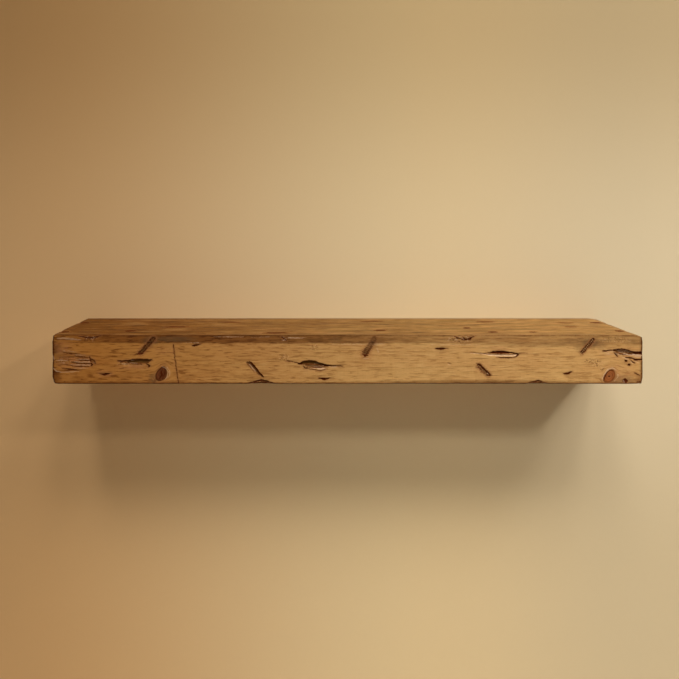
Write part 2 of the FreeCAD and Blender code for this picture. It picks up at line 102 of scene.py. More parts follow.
# The print of a threaded rod knocked into the wood. It has an ink at each end, a share of it that is
# left on the far rail, a floor between dark and pale, and beads where the thread bit.
Print = namedtuple("Print", "start end half_width depth start_ink end_ink far_rail pale beads")
# A knot is a leaning teardrop. Its tone is 0 for an orange one and 1 for a dark, dead one.
Knot = namedtuple("Knot", "x z half_width half_height lean tone")
# A chip is a place where an outer edge is rounded off further.
Chip = namedtuple("Chip", "x y z half_length reach radius")

# A long torn gouge left of the middle, down to the bark.
LONG_GOUGE = (
    (((-159, -1, 1.0), (-151, -1, 1.6), (-139, -3, 0.9), (-124, -7, 2.1)), 1.6, 0.85),
    (((-124, -8, 2.1), (-110, -5, 5.7), (-97, -4, 6.2), (-84, -5, 5.2), (-71, -9, 3.9),
      (-48, -13, 2.3)), 5.0, 1.0, 0.9),
    (((-48, -13, 2.3), (-32, -13, 2.4), (-19, -13, 1.8), (-12, -14, 0.5)), 1.8, 0.7, 0.3),
    (((-108, -12, 2.2), (-92, -14, 3.2), (-72, -15, 3.0), (-54, -15, 1.2)), 2.0, 0.60),
    (((-114, -13, 1.3), (-112, -18, 1.5), (-106, -19, 1.3), (-104, -15, 0.8)), 1.4, 0.9),
    (((-108, -19, 0.9), (-90, -22, 0.9), (-71, -25, 1.4), (-52, -22, 0.9)), 1.0, 0.80),
)
# A shorter gouge with olive bark, towards the left end.
BARK_GOUGE = (
    (((-593, 0, 1.5), (-579, -2, 3.2), (-567, -2, 3.6)), 1.6, 0.62, 0.0),
    (((-567, -2, 3.6), (-554, -2, 6.2), (-533, -1, 6.4), (-517, -1, 5.4), (-506, 3, 1.2)), 4.2, 1.0, 1.0),
    (((-519, -8, 1.3), (-511, -13, 2.6), (-515, -17, 1.0)), 1.6, 0.9),
)
# A gouge that slants down to the right, between those two.
SLANTING_GOUGE = (
    (((-258, -5, 3.4), (-250, -10, 4.6), (-239, -23, 4.4), (-228, -35, 3.0),
      (-217, -43, 0.8)), 3.0, 0.62, 0.5),
)
# Where the wood lifted above a long knife cut, right of the middle.
KNIFE_GOUGE = (
    (((352, 19, 0.8), (366, 20, 1.2), (376, 22, 3.2), (390, 22, 4.0), (404, 22, 3.8), (416, 21, 2.6),
      (430, 19, 2.0), (441, 18, 1.4)), 3.4, 1.0, 0.0),
    (((384, 10, 0.8), (398, 8, 1.5), (420, 8, 1.6), (434, 10, 1.7), (441, 16, 1.9)), 1.4, 0.90, 0.2),
    (((441, 18, 1.2), (452, 20, 0.8), (464, 19, 0.6)), 0.6, 0.55),
    (((300, 22, 0.7), (322, 22, 0.9), (346, 20, 0.7)), 0.4, 0.50),
)
# A crack with bark in it, which runs out at the right end.
BARK_CRACK = (
    (((659, 25, 1.2), (668, 25, 2.4), (676, 27, 1.4), (690, 27, 2.6), (702, 28, 3.6)), 3.0, 1.0, 0.0),
    (((696, 24, 5.0), (712, 24, 7.6), (726, 21, 6.4), (738, 20, 4.4)), 3.4, 0.92, 0.75),
    (((730, 20, 3.2), (744, 19, 4.0), (759, 20, 4.2)), 3.6, 1.0, 0.0),
    (((688, 22, 1.0), (692, 17, 1.8), (698, 11, 1.2)), 1.6, 0.90),
    (((718, 8, 1.4), (734, 7, 2.2), (742, 3, 2.0), (759, 3, 2.2)), 2.0, 1.0, 0.1),
)
# Short dents from the corner of a wedge.
WEDGE_DENTS = (
    (((-640, -34, 1.0), (-627, -35, 3.2), (-610, -32, 0.8)), 2.0, 1.0),
    (((-402, 39, 1.0), (-394, 40, 3.2), (-379, 43, 0.8)), 2.0, 1.0),
    (((-75, -45, 1.2), (-59, -47, 3.6), (-46, -45, 0.8)), 1.8, 1.0),
    (((227, 32, 1.0), (240, 31, 3.6), (258, 32, 0.8)), 2.0, 1.0),
    (((557, -33, 1.0), (568, -33, 3.0), (574, -30, 2.8), (580, -28, 0.8)), 1.8, 1.0),
)
# Notches that break the front's top and bottom edges.
EDGE_NOTCHES = (
    (((-257, -58, 1.0), (-241, -54, 2.0), (-222, -50, 2.4), (-206, -53, 2.0), (-190, -59, 1.0)), 2.2, 1.0),
    (((-240, -59, 3.0), (-212, -57, 5.0)), 3.2, 0.72),
    (((467, -58, 1.0), (481, -54, 2.0), (492, -51, 2.6), (510, -57, 0.8)), 2.0, 0.95),
    (((480, -59, 2.4), (500, -59, 3.0)), 2.6, 0.70),
    (((276, 63, 0.8), (288, 58, 1.4), (299, 55, 2.0), (314, 56, 2.2), (326, 63, 1.5)), 1.6, 1.0),
    (((296, 63, 0.8), (303, 58, 1.2)), 1.0, 1.0),
    (((312, 64, 0.8), (316, 59, 1.2)), 1.0, 1.0),
    (((-692, 64, 1.0), (-676, 60, 2.8), (-656, 60, 2.8), (-636, 65, 1.0)), 1.4, 0.85),
    (((-172, 62, 0.8), (-164, 57, 1.4), (-157, 52, 1.0)), 1.2, 1.0),
    (((-158, 63, 0.8), (-170, 52, 1.0)), 1.0, 1.0),
)
# A thin line scored from the joint down to the bottom edge.
SCORED_LINE = (
    (((-450, 43, 1.4), (-446, 10, 1.2), (-443, -13, 1.1), (-436, -60, 1.4)), 1.0, 0.85),
)
# Saw marks in and around the rough-sawn place at the left end.
SAWN_LINES = (
    (((-738, 22, 0.9), (-714, 19, 2.0), (-690, 17, 0.8)), 0.9, 0.85),
    (((-706, 13, 0.8), (-694, 11, 1.6), (-678, 11, 0.8)), 0.8, 0.80),
    (((-702, 7, 1.4), (-684, 8, 2.2), (-668, 8, 1.8)), 0.8, 0.62),
    (((-696, 1, 0.9), (-680, 1, 1.6), (-667, 1, 1.2)), 1.0, 0.88),
    (((-712, -5, 1.2), (-698, -5, 1.4)), 0.8, 0.70),
    (((-700, -7, 0.9), (-682, -7, 1.5), (-664, -7, 1.3)), 1.0, 0.92),
    (((-725, -12, 1.0), (-710, -13, 1.3)), 0.8, 0.70),
    (((-710, -15, 1.0), (-690, -15, 1.7), (-668, -15, 1.2)), 1.0, 0.80),
    (((-738, -18, 0.8), (-722, -21, 1.8), (-704, -23, 2.0), (-690, -25, 0.8)), 1.0, 0.85),
    (((-666, 11, 1.2), (-664, 5, 2.6), (-663, -1, 1.8)), 1.8, 0.92),
    (((-663, 5, 1.4), (-656, -1, 5.0), (-652, -6, 3.0)), 1.8, 0.60, 0.5),
    (((-662, -6, 1.4), (-659, -10, 2.4), (-662, -13, 1.2)), 1.8, 1.0),
    (((-746, 9, 0.8), (-722, 9, 1.4), (-704, 8, 0.8)), 0.5, 0.55),
    (((-742, -9, 0.6), (-732, -9, 1.0), (-722, -9, 0.6)), 0.5, 0.55),
    (((-714, -33, 0.7), (-706, -34, 1.1), (-698, -37, 0.7)), 0.5, 0.45),
)
# Nail holes, pits and faint lines.
SMALL_MARKS = (
    (((718, 0, 3.3), (720, 0, 3.2)), 3.0, 1.0),
    (((726, -10, 2.8), (728, -10, 3.0)), 3.0, 1.0),
    (((734, -1, 1.0), (742, -6, 1.3)), 1.0, 0.7),
    (((741, -31, 1.0), (748, -34, 2.0), (756, -38, 1.0)), 1.0, 0.85),
    (((747, -55, 1.0), (754, -54, 1.5), (758, -53, 0.8)), 1.0, 0.8),
    # These two are painted shadow beside two ridges at the left end, below the upper and above the lower one.
    (((-752, 54, 1.0), (-734, 56, 1.2), (-696, 55, 1.0)), 0.5, 0.25),
    (((-754, -24, 1.0), (-734, -26, 1.2), (-696, -25, 1.0)), 0.5, 0.25),
    (((-473, -20, 2.0), (-472, -31, 5.0), (-478, -45, 3.4)), 0.4, 0.62),
    (((674, -40, 1.9), (677, -40, 1.9)), 1.2, 1.0),
    (((259, -6, 1.3), (266, -8, 1.3)), 1.6, 0.35),
)
CREASES = tuple(Crease(*row) for row in (
    # In the long gouge.
    (((-126, -7, 1.4), (-118, -7, 1.8)), 0.0, 1.0),
    (((-62, -11, 1.1), (-46, -12, 1.4), (-30, -13, 0.8)), 0.0, 1.0),
    (((-94, -17, 0.5), (-74, -17, 0.9), (-58, -16, 0.5)), 0.0, 0.9),
    (((-86, -7, 0.5), (-79, -7, 1.1), (-73, -9, 0.5)), 1.0, 0.30),
    (((-100, -13, 0.6), (-80, -14, 1.1), (-62, -14, 0.6)), 0.8, 0.32),
    (((-78, -19, 0.6), (-66, -20, 1.5), (-57, -19, 0.6)), 1.0, 0.60),
    (((-48, -16, 0.5), (-36, -16, 0.9), (-24, -16, 0.5)), 1.0, 0.40),
    # In the bark gouge.
    (((-592, 1, 0.6), (-567, 1, 1.0), (-556, 4, 0.9), (-524, 5, 0.9), (-507, 3, 0.7)), 0.0, 1.0),
    (((-586, 1, 0.9), (-585, -4, 1.1)), 0.0, 0.9),
    (((-550, -9, 0.6), (-540, -9, 0.9), (-530, -9, 0.6)), 0.0, 0.9),
    (((-561, 1, 0.5), (-557, 1, 1.1), (-552, 1, 0.5)), 1.0, 0.50),
    (((-584, -7, 0.7), (-575, -8, 1.4), (-562, -8, 0.7)), 1.0, 0.34),
    (((-563, -6, 0.6), (-551, -6, 1.1), (-543, -7, 0.6)), 0.9, 0.16),
    # In the slanting gouge.
    (((-254, -1, 1.2), (-247, -6, 2.0), (-234, -21, 1.9), (-223, -35, 1.5), (-216, -43, 0.6)), 0.0, 1.0),
    (((-258, -9, 0.7), (-250, -18, 0.9), (-240, -30, 0.6)), 0.0, 0.7),
    (((-254, -9, 0.6), (-247, -16, 1.3), (-238, -27, 0.8)), 0.9, 0.36),
    # In and beside the bark crack.
    (((694, 28, 0.6), (706, 32, 1.1), (722, 28, 1.3), (735, 24, 1.1), (760, 24, 0.8)), 0.0, 1.0),
    (((700, 18, 0.7), (716, 16, 1.0), (734, 17, 1.3)), 0.0, 1.0),
    (((700, 24, 0.5), (709, 24, 0.9), (718, 22, 0.5)), 0.0, 0.9),
    (((671, 23, 0.6), (682, 23, 1.2), (690, 23, 0.5)), 0.9, 0.35),
    (((702, 22, 0.4), (710, 21, 0.7), (717, 21, 0.4)), 0.9, 0.16),
    (((714, 26, 0.4), (722, 24, 0.8), (730, 22, 0.4)), 0.9, 0.18),
    (((697, 26, 0.4), (706, 28, 0.8), (716, 27, 0.4)), 0.9, 0.14),
    (((706, 24, 0.5), (716, 23, 0.9), (728, 19, 0.6)), 0.0, 0.8),
    (((704, 18, 0.5), (712, 16, 1.1), (722, 16, 0.6)), 0.0, 0.8),
    (((712, 18, 0.5), (726, 16, 1.3), (744, 15, 1.6), (760, 14, 1.3)), 1.0, 0.55),
    (((700, 26, 0.5), (712, 28, 0.9), (724, 25, 0.8), (736, 21, 0.5)), 0.40, 0.75),
    (((702, 22, 0.5), (714, 23, 0.8), (727, 20, 0.5)), 0.50, 0.75),
    (((690, 20, 0.5), (699, 17, 1.0), (709, 14, 0.5)), 1.0, 0.45),
    (((728, 3, 0.7), (734, -1, 1.6), (741, -6, 1.0)), 0.0, 0.85),
    (((664, 17, 0.5), (676, 17, 1.2), (688, 16, 0.5)), 1.0, 0.30),
    (((737, 10, 0.8), (747, 11, 2.4), (757, 11, 1.6)), 0.9, 0.45),
    # Round the two knots near the right end.
    (((658, -46, 0.6), (662, -35, 1.0), (670, -23, 1.2), (683, -18, 1.1), (694, -24, 0.6)), 1.0, 0.60),
    (((698, -33, 0.6), (697, -43, 1.1), (688, -52, 0.7)), 1.0, 0.40),
    (((661, -50, 1.2), (664, -41, 1.7), (670, -30, 1.4), (678, -24, 1.0), (687, -26, 0.6)), 0.0, 0.85),
    (((711, -55, 0.9), (711, -50, 1.3), (716, -46, 1.7), (722, -50, 1.5), (722, -56, 1.0)), 0.0, 1.0),
    (((717, -47, 1.9), (718, -55, 1.9)), 0.0, 1.0),
    (((713, -51, 0.5), (714, -54, 1.1), (714, -57, 0.6)), 0.8, 0.35),
    # Round the knot on the left.
    (((-477, -19, 0.7), (-480, -28, 1.7), (-480, -37, 2.2), (-485, -46, 1.6)), 0.0, 1.0),
    (((-474, -26, 0.6), (-473, -34, 1.1), (-476, -41, 0.7)), 0.0, 0.8),
    (((-481, -14, 0.5), (-470, -18, 1.0), (-463, -28, 1.3), (-465, -41, 1.1), (-473, -50, 0.5)), 0.92, 0.36),
    (((-494, -43, 1.6), (-496, -50, 2.6), (-499, -56, 1.4)), 0.0, 0.40),
    # Along the rod print right of the middle.
    (((338, -9, 1.6), (346, -15, 2.0), (358, -27, 1.9), (366, -34, 1.6)), 0.0, 1.0),
    (((328, -17, 0.5), (338, -17, 1.0), (344, -21, 0.9)), 0.0, 0.75),
    (((331, -6, 0.5), (339, -9, 1.0)), 0.0, 0.8),
    (((342, -29, 0.5), (348, -28, 1.2), (355, -34, 0.9)), 0.0, 0.75),
    (((360, -37, 0.9), (366, -39, 1.1), (373, -38, 0.5)), 0.0, 0.80),
    (((361, -33, 0.8), (363, -33, 0.8)), 1.0, 0.8),
    # Loose nicks and a faint pale line.
    (((-549, 18, 0.6), (-540, 17, 1.8), (-528, 19, 1.3)), 0.0, 1.0),
    (((39, 16, 0.7), (46, 12, 1.9), (54, 15, 0.8)), 0.0, 1.0),
    (((40, 6, 0.5), (48, 5, 1.2), (56, 7, 0.5)), 1.0, 0.40),
    (((76, 33, 1.0), (80, 23, 2.0)), 1.0, 0.25),
))
GROOVES = tuple(Groove(*row) for row in (
    LONG_GOUGE + BARK_GOUGE + SLANTING_GOUGE + KNIFE_GOUGE + BARK_CRACK + WEDGE_DENTS + EDGE_NOTCHES
    + SCORED_LINE + SAWN_LINES + SMALL_MARKS))

CUTS = tuple(Cut(*row) for row in (
    # Beside the long gouge and the bark gouge, and then the long knife cut.
    (((-100, -19, 0.8), (-84, -19, 1.3), (-67, -20, 2.2), (-53, -20, 0.8)), 1.4, 0.50),
    (((-577, -10, 1.2), (-556, -12, 1.4), (-533, -12, 1.4), (-519, -12, 0.8)), 0.8, 0.10),
    (((314, 19, 0.8), (330, 19, 1.3), (346, 18, 1.0), (365, 16, 1.8), (386, 14, 2.6), (407, 14, 2.8),
      (425, 14, 2.4), (437, 15, 1.4)), 1.8, 0.9),
    # Pale lines at the left end, most of them in the rough-sawn place.
    # The first two are the pale tops of two ridges: partly worn wood, partly painted highlight.
    (((-750, 58, 1.4), (-730, 58, 2.6), (-708, 56, 2.4), (-688, 54, 1.2)), 0.0, 0.36),
    (((-758, -20, 1.6), (-752, -26, 1.8), (-738, -29, 1.6), (-724, -29, 0.8)), 0.0, 0.40),
    (((-730, -28, 0.8), (-712, -28, 1.6), (-692, -27, 0.8)), 0.0, 0.34),
    (((-758, 13, 1.2), (-757, 3, 1.4)), 0.0, 0.45),
    (((-734, 26, 0.8), (-718, 25, 1.4), (-700, 23, 0.8)), 0.0, 0.26),
    (((-703, 15, 0.7), (-692, 15, 1.3), (-676, 15, 0.7)), 0.0, 0.35),
    (((-704, 4, 0.8), (-686, 4, 1.3), (-667, 4, 1.2)), 0.0, 0.38),
    (((-714, -2, 0.7), (-690, -3, 1.4), (-665, -3, 1.6)), 0.0, 0.48),
    (((-714, -10, 0.8), (-690, -11, 1.6), (-664, -11, 1.6)), 0.0, 0.34),
    (((-708, -19, 0.8), (-690, -19, 1.4), (-670, -19, 1.0)), 0.0, 0.24),
    (((-752, 1, 0.8), (-738, 1, 1.3), (-722, 0, 0.9)), 0.0, 0.50),
    (((-742, -5, 0.7), (-730, -5, 1.2)), 0.0, 0.40),
    (((-657, -4, 1.6), (-652, -5, 1.6)), 0.0, 0.30),
    # Beside the knot on the left.
    (((-467, -15, 0.7), (-459, -25, 1.1), (-458, -35, 1.2), (-464, -46, 0.7)), 0.0, 0.50),
    # Thin lines along the top edge and along the joint.
    (((-154, 60, 1.3), (-130, 59, 1.5), (-107, 60, 0.8)), 0.4, 0.5),
    (((-345, 62, 0.8), (-300, 62, 1.1), (-268, 62, 0.8)), 0.2, 0.38),
    (((-250, 61, 0.6), (-200, 62, 0.9)), 0.2, 0.25),
    (((-45, 43, 0.7), (20, 43, 1.3), (95, 43, 1.3)), 0.0, 0.34),
    (((205, 42, 0.7), (270, 42, 1.3), (345, 41, 0.7)), 0.0, 0.30),
    (((-434, 46, 0.7), (-385, 47, 1.3)), 0.0, 0.45),
    # Fresh wood in the notches of the top edge.
    (((-667, 59, 0.9), (-660, 57, 1.2)), 0.0, 0.9),
    (((-678, 60, 0.8), (-674, 57, 1.0)), 0.0, 0.8),
    (((-167, 63, 0.7), (-162, 59, 1.0)), 0.0, 0.7),
    (((-166, 53, 0.7), (-158, 57, 1.0)), 0.0, 0.6),
    (((289, 62, 0.8), (294, 58, 1.2)), 0.0, 0.6),
    (((306, 62, 1.0), (310, 59, 1.2)), 0.0, 0.6),
    (((278, 57, 0.6), (286, 54, 0.9)), 0.0, 0.6),
    # Small pale marks beside pits and cracks.
    (((259, -10, 0.8), (266, -11, 1.0)), 0.3, 0.6),
    (((730, -1, 1.0), (736, -7, 1.4)), 0.4, 0.5),
    (((742, -1, 1.0), (752, -5, 1.4)), 0.4, 0.5),
    (((664, 21, 1.0), (674, 20, 1.2)), 0.3, 0.5),
    (((708, 10, 1.0), (718, 7, 1.4), (726, 3, 1.0)), 0.3, 0.35),
))

ROD_PRINTS = (
    Print((-501, 57), (-534, 21), 6.4, 2.2, 0.92, 1.00, 1.0, 0.26, 0.0),
    Print((69, 57), (45, 19), 7.8, 1.8, 0.36, 0.95, 0.65, 0.28, 0.0),
    Print((339, -12), (364, -36), 5.8, 2.2, 1.00, 1.00, 0.60, 0.50, 0.35),
    Print((634, 54), (605, 21), 5.0, 2.2, 0.92, 1.00, 1.0, 0.30, 1.0),
)
THREAD_PITCH = 5.0

KNOTS = (
    Knot(-480, -33, 13.6, 18.0, 0.30, 0.88),
    Knot(677, -39, 14.0, 16.6, 0.42, 0.0),
    Knot(717, -52, 5.4, 5.4, 0.0, 1.0),
)

# These are soft ellipses, as (x, z, half-length, half-height, strength).
# Where grey-brown stain was rubbed over the front.
SMEARS = (
    (-447, 56, 50, 7, 0.75), (-508, 51, 20, 11, 0.65), (626, 46, 24, 13, 0.80), (654, 40, 14, 10, 0.40),
    (600, 34, 14, 9, 0.40), (66, 47, 13, 10, 0.55), (-508, 45, 12, 12, 0.35), (-498, -45, 14, 12, 0.70),
    (703, -49, 34, 12, 0.60), (-30, 53, 16, 6, 0.4), (606, 49, 60, 9, 0.30), (480, 41, 90, 6, 0.25),
    (742, 47, 26, 14, 0.25), (-744, 17, 14, 26, 0.30),
)
# Where the front is darker at its ends.
END_SHADES = (
    (-764, 34, 22, 16, 0.75), (-764, -42, 22, 20, 0.75), (760, 55, 12, 12, 0.40), (758, -52, 14, 14, 0.50),
)
# Reddish wood beside gouges, knots and saw marks.
BLOOMS = (
    (-557, -15, 34, 8, 0.7), (-83, -21, 34, 7, 0.4), (700, -29, 36, 22, 0.5), (-470, 25, 30, 12, 0.3),
    (-700, -1, 46, 18, 0.7), (-740, 33, 30, 16, 0.5), (715, 17, 50, 16, 0.4), (390, 31, 22, 7, 0.6),
    (352, -19, 24, 20, 0.35), (-576, -1, 14, 5, 0.7), (-627, -33, 24, 9, 0.45), (48, 19, 20, 16, 0.35),
)
# Where the wood is torn into small dark and pale specks.
SPECKLES = (
    (-165, 9, 13, 8, 1.0), (-85, 35, 11, 8, 0.9), (-164, 57, 10, 8, 1.0), (-666, 57, 18, 7, 1.0),
    (286, 55, 30, 9, 1.0), (644, -6, 12, 10, 1.0), (624, -2, 14, 7, 0.9), (690, 54, 40, 8, 0.7),
    (658, -21, 6, 5, 1.0), (-732, 0, 28, 6, 0.8), (-579, -7, 16, 5, 0.8),
)

# These tables give a number along the shelf, as (x, number), straight between their places.
# How much darker the front edge of the top board is, and its upper face.
EDGE_TONE = (
    (-762, 0.14), (-660, 0.46), (-500, 0.86), (-100, 0.86), (60, 0.70), (250, 0.40), (520, 0.42),
    (640, 0.38), (762, 0.36),
)
# Partly darker stain, partly painted shade: the top face would look too bright under the high key lamps.
TOP_STAIN_AND_SHADE_TONE = ((-762, 0.86), (-380, 0.76), (-100, 0.74), (135, 0.78), (450, 0.64), (600, 0.64), (762, 0.66))
# Where the dark band along the top of the front ends: at the joint, and lower towards the right.
STRIP_LINE = ((-762, 45), (60, 45), (250, 44), (400, 41), (520, 37), (640, 33), (700, 37), (762, 43))
# Painted shade along the bottom of the front, where its rounded edge faces down: how dark and how high.
BOTTOM_PAINTED_SHADE_TONE = ((-762, 0.55), (-200, 0.40), (60, 0.45), (300, 0.62), (480, 0.62), (560, 0.50), (762, 0.55))
BOTTOM_PAINTED_SHADE_HEIGHT = (
    (-762, 7.0), (-200, 5.0), (60, 6.0), (150, 10.0), (280, 12.0), (480, 11.0), (560, 6.0), (762, 5.0),
)
# How deep the stain took along the shelf, from 0, plain, to 1, reddish brown.
# Its rise towards the left end is also painted shade: darker and warmer where the light falls off.
STAIN_AND_SHADE_DEPTH = (
    (-762, 1.0), (-650, 1.0), (-404, 0.72), (-171, 0.36), (60, 0.14), (180, 0.04), (540, 0.0),
    (640, 0.04), (762, 0.14),
)

# Places along the outer edges and at the corners that are worn rounder.
CHIPS = (
    Chip(-670, FRONT, TOP, 24, 14, 4.5),
    Chip(-163, FRONT, TOP, 10, 12, 3.0),
    Chip(293, FRONT, TOP, 34, 14, 3.6),
    Chip(674, FRONT, TOP, 10, 10, 1.5),
    Chip(-222, FRONT, BOTTOM, 34, 14, 4.5),
    Chip(490, FRONT, BOTTOM, 26, 14, 3.6),
    Chip(120, FRONT, BOTTOM, 60, 14, 1.2),
    Chip(300, FRONT, BOTTOM, 160, 14, 1.4),
    Chip(LEFT, FRONT, 5, 12, 14, 2.4),
    Chip(LEFT, -212, TOP, 16, 26, 2.6),
    Chip(LEFT, FRONT, -58, 12, 14, 7.0),
    Chip(RIGHT, FRONT, 16, 12, 16, 1.0),
    Chip(RIGHT, FRONT, -58, 12, 12, 5.0),
    Chip(RIGHT, FRONT, TOP, 12, 12, 2.5),
    Chip(LEFT, FRONT, TOP, 10, 12, 2.5),
    Chip(LEFT, -64, TOP, 12, 12, 3.0),
    Chip(LEFT, -178, TOP, 12, 14, 3.0),
    Chip(RIGHT, -64, TOP, 12, 12, 3.0),
    Chip(RIGHT, -166, TOP, 12, 14, 3.0),
)

# Long shallow dents in the top, as (first x, last x, y, half-width, ink).
TOP_DENTS = (
    (-500, -431, -126, 7.9, 1.00), (-593, -560, -179, 8.4, 1.00), (-351, -292, -61, 6.8, 0.62),
    (-222, -148, -204, 8.4, 0.95), (48, 113, -46, 7.4, 0.73), (74, 112, -172, 8.4, 0.90),
    (382, 447, -54, 8.4, 1.00), (325, 345, -140, 7.9, 1.00), (376, 403, -192, 7.9, 0.90),
    (486, 504, -192, 7.4, 0.62), (610, 662, -69, 7.4, 0.66), (607, 648, -126, 7.6, 0.66),
    (-755, -731, -69, 8.4, 1.00), (-753, -736, -192, 7.9, 1.00), (708, 753, -68, 8.9, 1.00),
    (717, 752, -179, 8.4, 1.00),
)
DENT_DEPTH = 1.2
# How far the top is worn down at its right end, as (y, drop) from front to back, and over what length.
END_DROP = ((-229, 5.2), (-190, 5.2), (-130, 5.0), (-60, 4.2), (0, 3.2))
END_DROP_LENGTH = 28
# Painted shadow along the back of the top, in the gap beside the wall.
BACK_PAINTED_SHADOW_INK, BACK_PAINTED_SHADOW_WIDTH = 0.6, 12
# The rough-sawn place at the left end: its right border and its height.
SAWN_RIGHT, SAWN_LOW, SAWN_HIGH = -658, -25, 19

# A side of a board is (axis, end): end 0 is where its axis starts and end 1 where it stops.
LEFT_SIDE, RIGHT_SIDE = (0, 0), (0, 1)
FRONT_SIDE, BACK_SIDE = (1, 0), (1, 1)
UNDER_SIDE, UPPER_SIDE = (2, 0), (2, 1)
# The two axes that lie in a side, by the axis that the side faces along.
SIDE_AXES = ((1, 2), (0, 2), (0, 1))

# Seeds of the noise, one for each use. Ragged outlines and surface waves take the next number too.
OUTLINE_SEED, DENT_SEED, END_OUTLINE_SEED = 11, 31, 81
SAWN_SEED, STRIP_SEED = 21, 25
SLOW_EDGE_SEED, QUICK_EDGE_SEED, CHIP_SEED, JOINT_SEED = 41, 42, 43, 44
FRONT_WAVES = {FRONT_SIDE: 51, LEFT_SIDE: 53, RIGHT_SIDE: 55, UNDER_SIDE: 57}
TOP_WAVES = {FRONT_SIDE: 61, UPPER_SIDE: 63, LEFT_SIDE: 65, RIGHT_SIDE: 67}
LEFT_END_WAVES = {LEFT_SIDE: 71, UNDER_SIDE: 75}
RIGHT_END_WAVES = {RIGHT_SIDE: 72, UNDER_SIDE: 75}


# ---- Fields: what the marks do at each place on a board ----

def fade(share):
    """Smooth step: 3t² - 2t³, with t kept between 0 and 1."""
    share = np.clip(share, 0, 1)
    return share * share * (3 - 2 * share)


def table_at(place, table):
    """A table's number at each place, straight between its (place, number) pairs."""
    return np.interp(place, *np.array(table).T)


def ripple(seed, u, v):
    """Smooth noise from -1 to 1: a random number at each whole place (u, v), blended between neighbours by
    the smooth step along u and then along v."""
    size = 64
    knots = np.random.default_rng(seed).uniform(-1, 1, (size, size))
    i, j = np.floor(u).astype(int), np.floor(v).astype(int)
    s, t = fade(u - i), fade(v - j)
    i, j, i_next, j_next = i % size, j % size, (i + 1) % size, (j + 1) % size
    near = knots[i, j] * (1 - s) + knots[i_next, j] * s
    far = knots[i, j_next] * (1 - s) + knots[i_next, j_next] * s
    return near * (1 - t) + far * t


# An inset, in millimetres, that is outside every outline.
FAR_OUTSIDE = -9.0


def inside(x, z, line):
    """How deep inside a line with a width each place is: in millimetres from its outline, the largest over
    its straight runs of (half-width there) - (distance to the run), and as a share of the half-width. Both
    are 0 on the outline and negative outside."""
    inset, share_in = np.full(x.shape, FAR_OUTSIDE), np.full(x.shape, FAR_OUTSIDE)
    for (x0, z0, w0), (x1, z1, w1) in zip(line[:-1], line[1:]):
        run_x, run_z = x1 - x0, z1 - z0
        share = np.clip(((x - x0) * run_x + (z - z0) * run_z) / (run_x**2 + run_z**2), 0, 1)
        away = np.hypot(x - x0 - share * run_x, z - z0 - share * run_z)
        width = w0 + share * (w1 - w0)
        inset = np.maximum(inset, width - away)
        share_in = np.maximum(share_in, 1 - away / width)
    return inset, share_in


def lay(field, edge, inset, **tones):
    """Where the inset is the largest so far, the field `edge` takes it and the tones' fields take their
    numbers."""
    nearer = inset > field[edge]
    field[edge] = np.where(nearer, inset, field[edge])
    for name, tone in tones.items():
        field[name] = np.where(nearer, tone, field[name])


def patches(x, z, table):
    """Soft ellipses: full within half of each ellipse's reach and none beyond one and a half times it."""
    total = np.zeros(x.shape)
    for middle_x, middle_z, half_length, half_height, strength in table:
        reach = np.hypot((x - middle_x) / half_length, (z - middle_z) / half_height)
        total = np.maximum(total, strength * fade(1.5 - reach))
    return total


def ragged(x, z, seed, amount=0.7, size=4.0):
    """The same places, pushed about by noise, and most along the shelf, so that outlines drawn there come
    out ragged."""
    stretch = 1.6
    return (x + amount * stretch * ripple(seed, x / size, z / size),
            z + amount * ripple(seed + 1, x / size, z / size))


def rod_coordinates(x, z, rod):
    """Places seen from a rod print: distance along it from its start, in millimetres and as a share of its
    length, distance across it as a share of its half-width, and how far inside its rounded outline they
    are, from 0 on the outline to 1 on the middle line."""
    (x0, z0), (x1, z1) = rod.start, rod.end
    run = math.hypot(x1 - x0, z1 - z0)
    along = ((x - x0) * (x1 - x0) + (z - z0) * (z1 - z0)) / run
    across = ((z - z0) * (x1 - x0) - (x - x0) * (z1 - z0)) / run
    overrun = np.maximum(np.maximum(-along, along - run), 0)
    within = 1 - np.hypot(across, overrun) / rod.half_width
    return along, along / run, across / rod.half_width, within


def knot_radius(x, z, knot):
    """Distance from a knot's heart as a share of its size: 0 at the heart and 1 on its rim. The knot leans
    by a shear, and narrows upwards, which makes it a teardrop."""
    narrowing = 0.2
    up = (z - knot.z) / knot.half_height
    aside = (x - knot.x) / knot.half_width - knot.lean * up
    return np.hypot(aside / (1 - narrowing * np.clip(up, -1, 1)), up)


# Fields that the finish reads from the mesh one by one, and all of them.
SHOWN_FIELDS = ("hollow", "ink", "bark", "pale", "paleness", "crease", "crease_tone", "crease_ink", "smear",
                "bloom", "speckle", "tone", "stain", "ring", "knot_tone", "rod_ink", "rod_far", "rod_pale",
                "bead")
FIELD_NAMES = SHOWN_FIELDS + ("rod_along", "rod_across", "rod_within", "lift", "depth")
# What a field holds where there is no mark, if that isn't 0.
EMPTY = {"hollow": FAR_OUTSIDE, "pale": FAR_OUTSIDE, "crease": FAR_OUTSIDE, "ring": 3.0, "rod_within": -2.0}
# The sides of grooves and of rod prints reach their full depth at 1 / steepness of the way in.
GROOVE_STEEPNESS, ROD_STEEPNESS = 1.5, 1.6


def empty_fields(shape):
    """Fields of a board with no marks."""
    return {name: np.full(shape, EMPTY.get(name, 0.0)) for name in FIELD_NAMES}


def faded(field, weight):
    """The marks where the weight is 1, and none where it is 0. The stain goes on all round the board."""
    faded_field = {name: EMPTY.get(name, 0.0) + (values - EMPTY.get(name, 0.0)) * weight
                   for name, values in field.items()}
    faded_field["stain"] = field["stain"]
    return faded_field


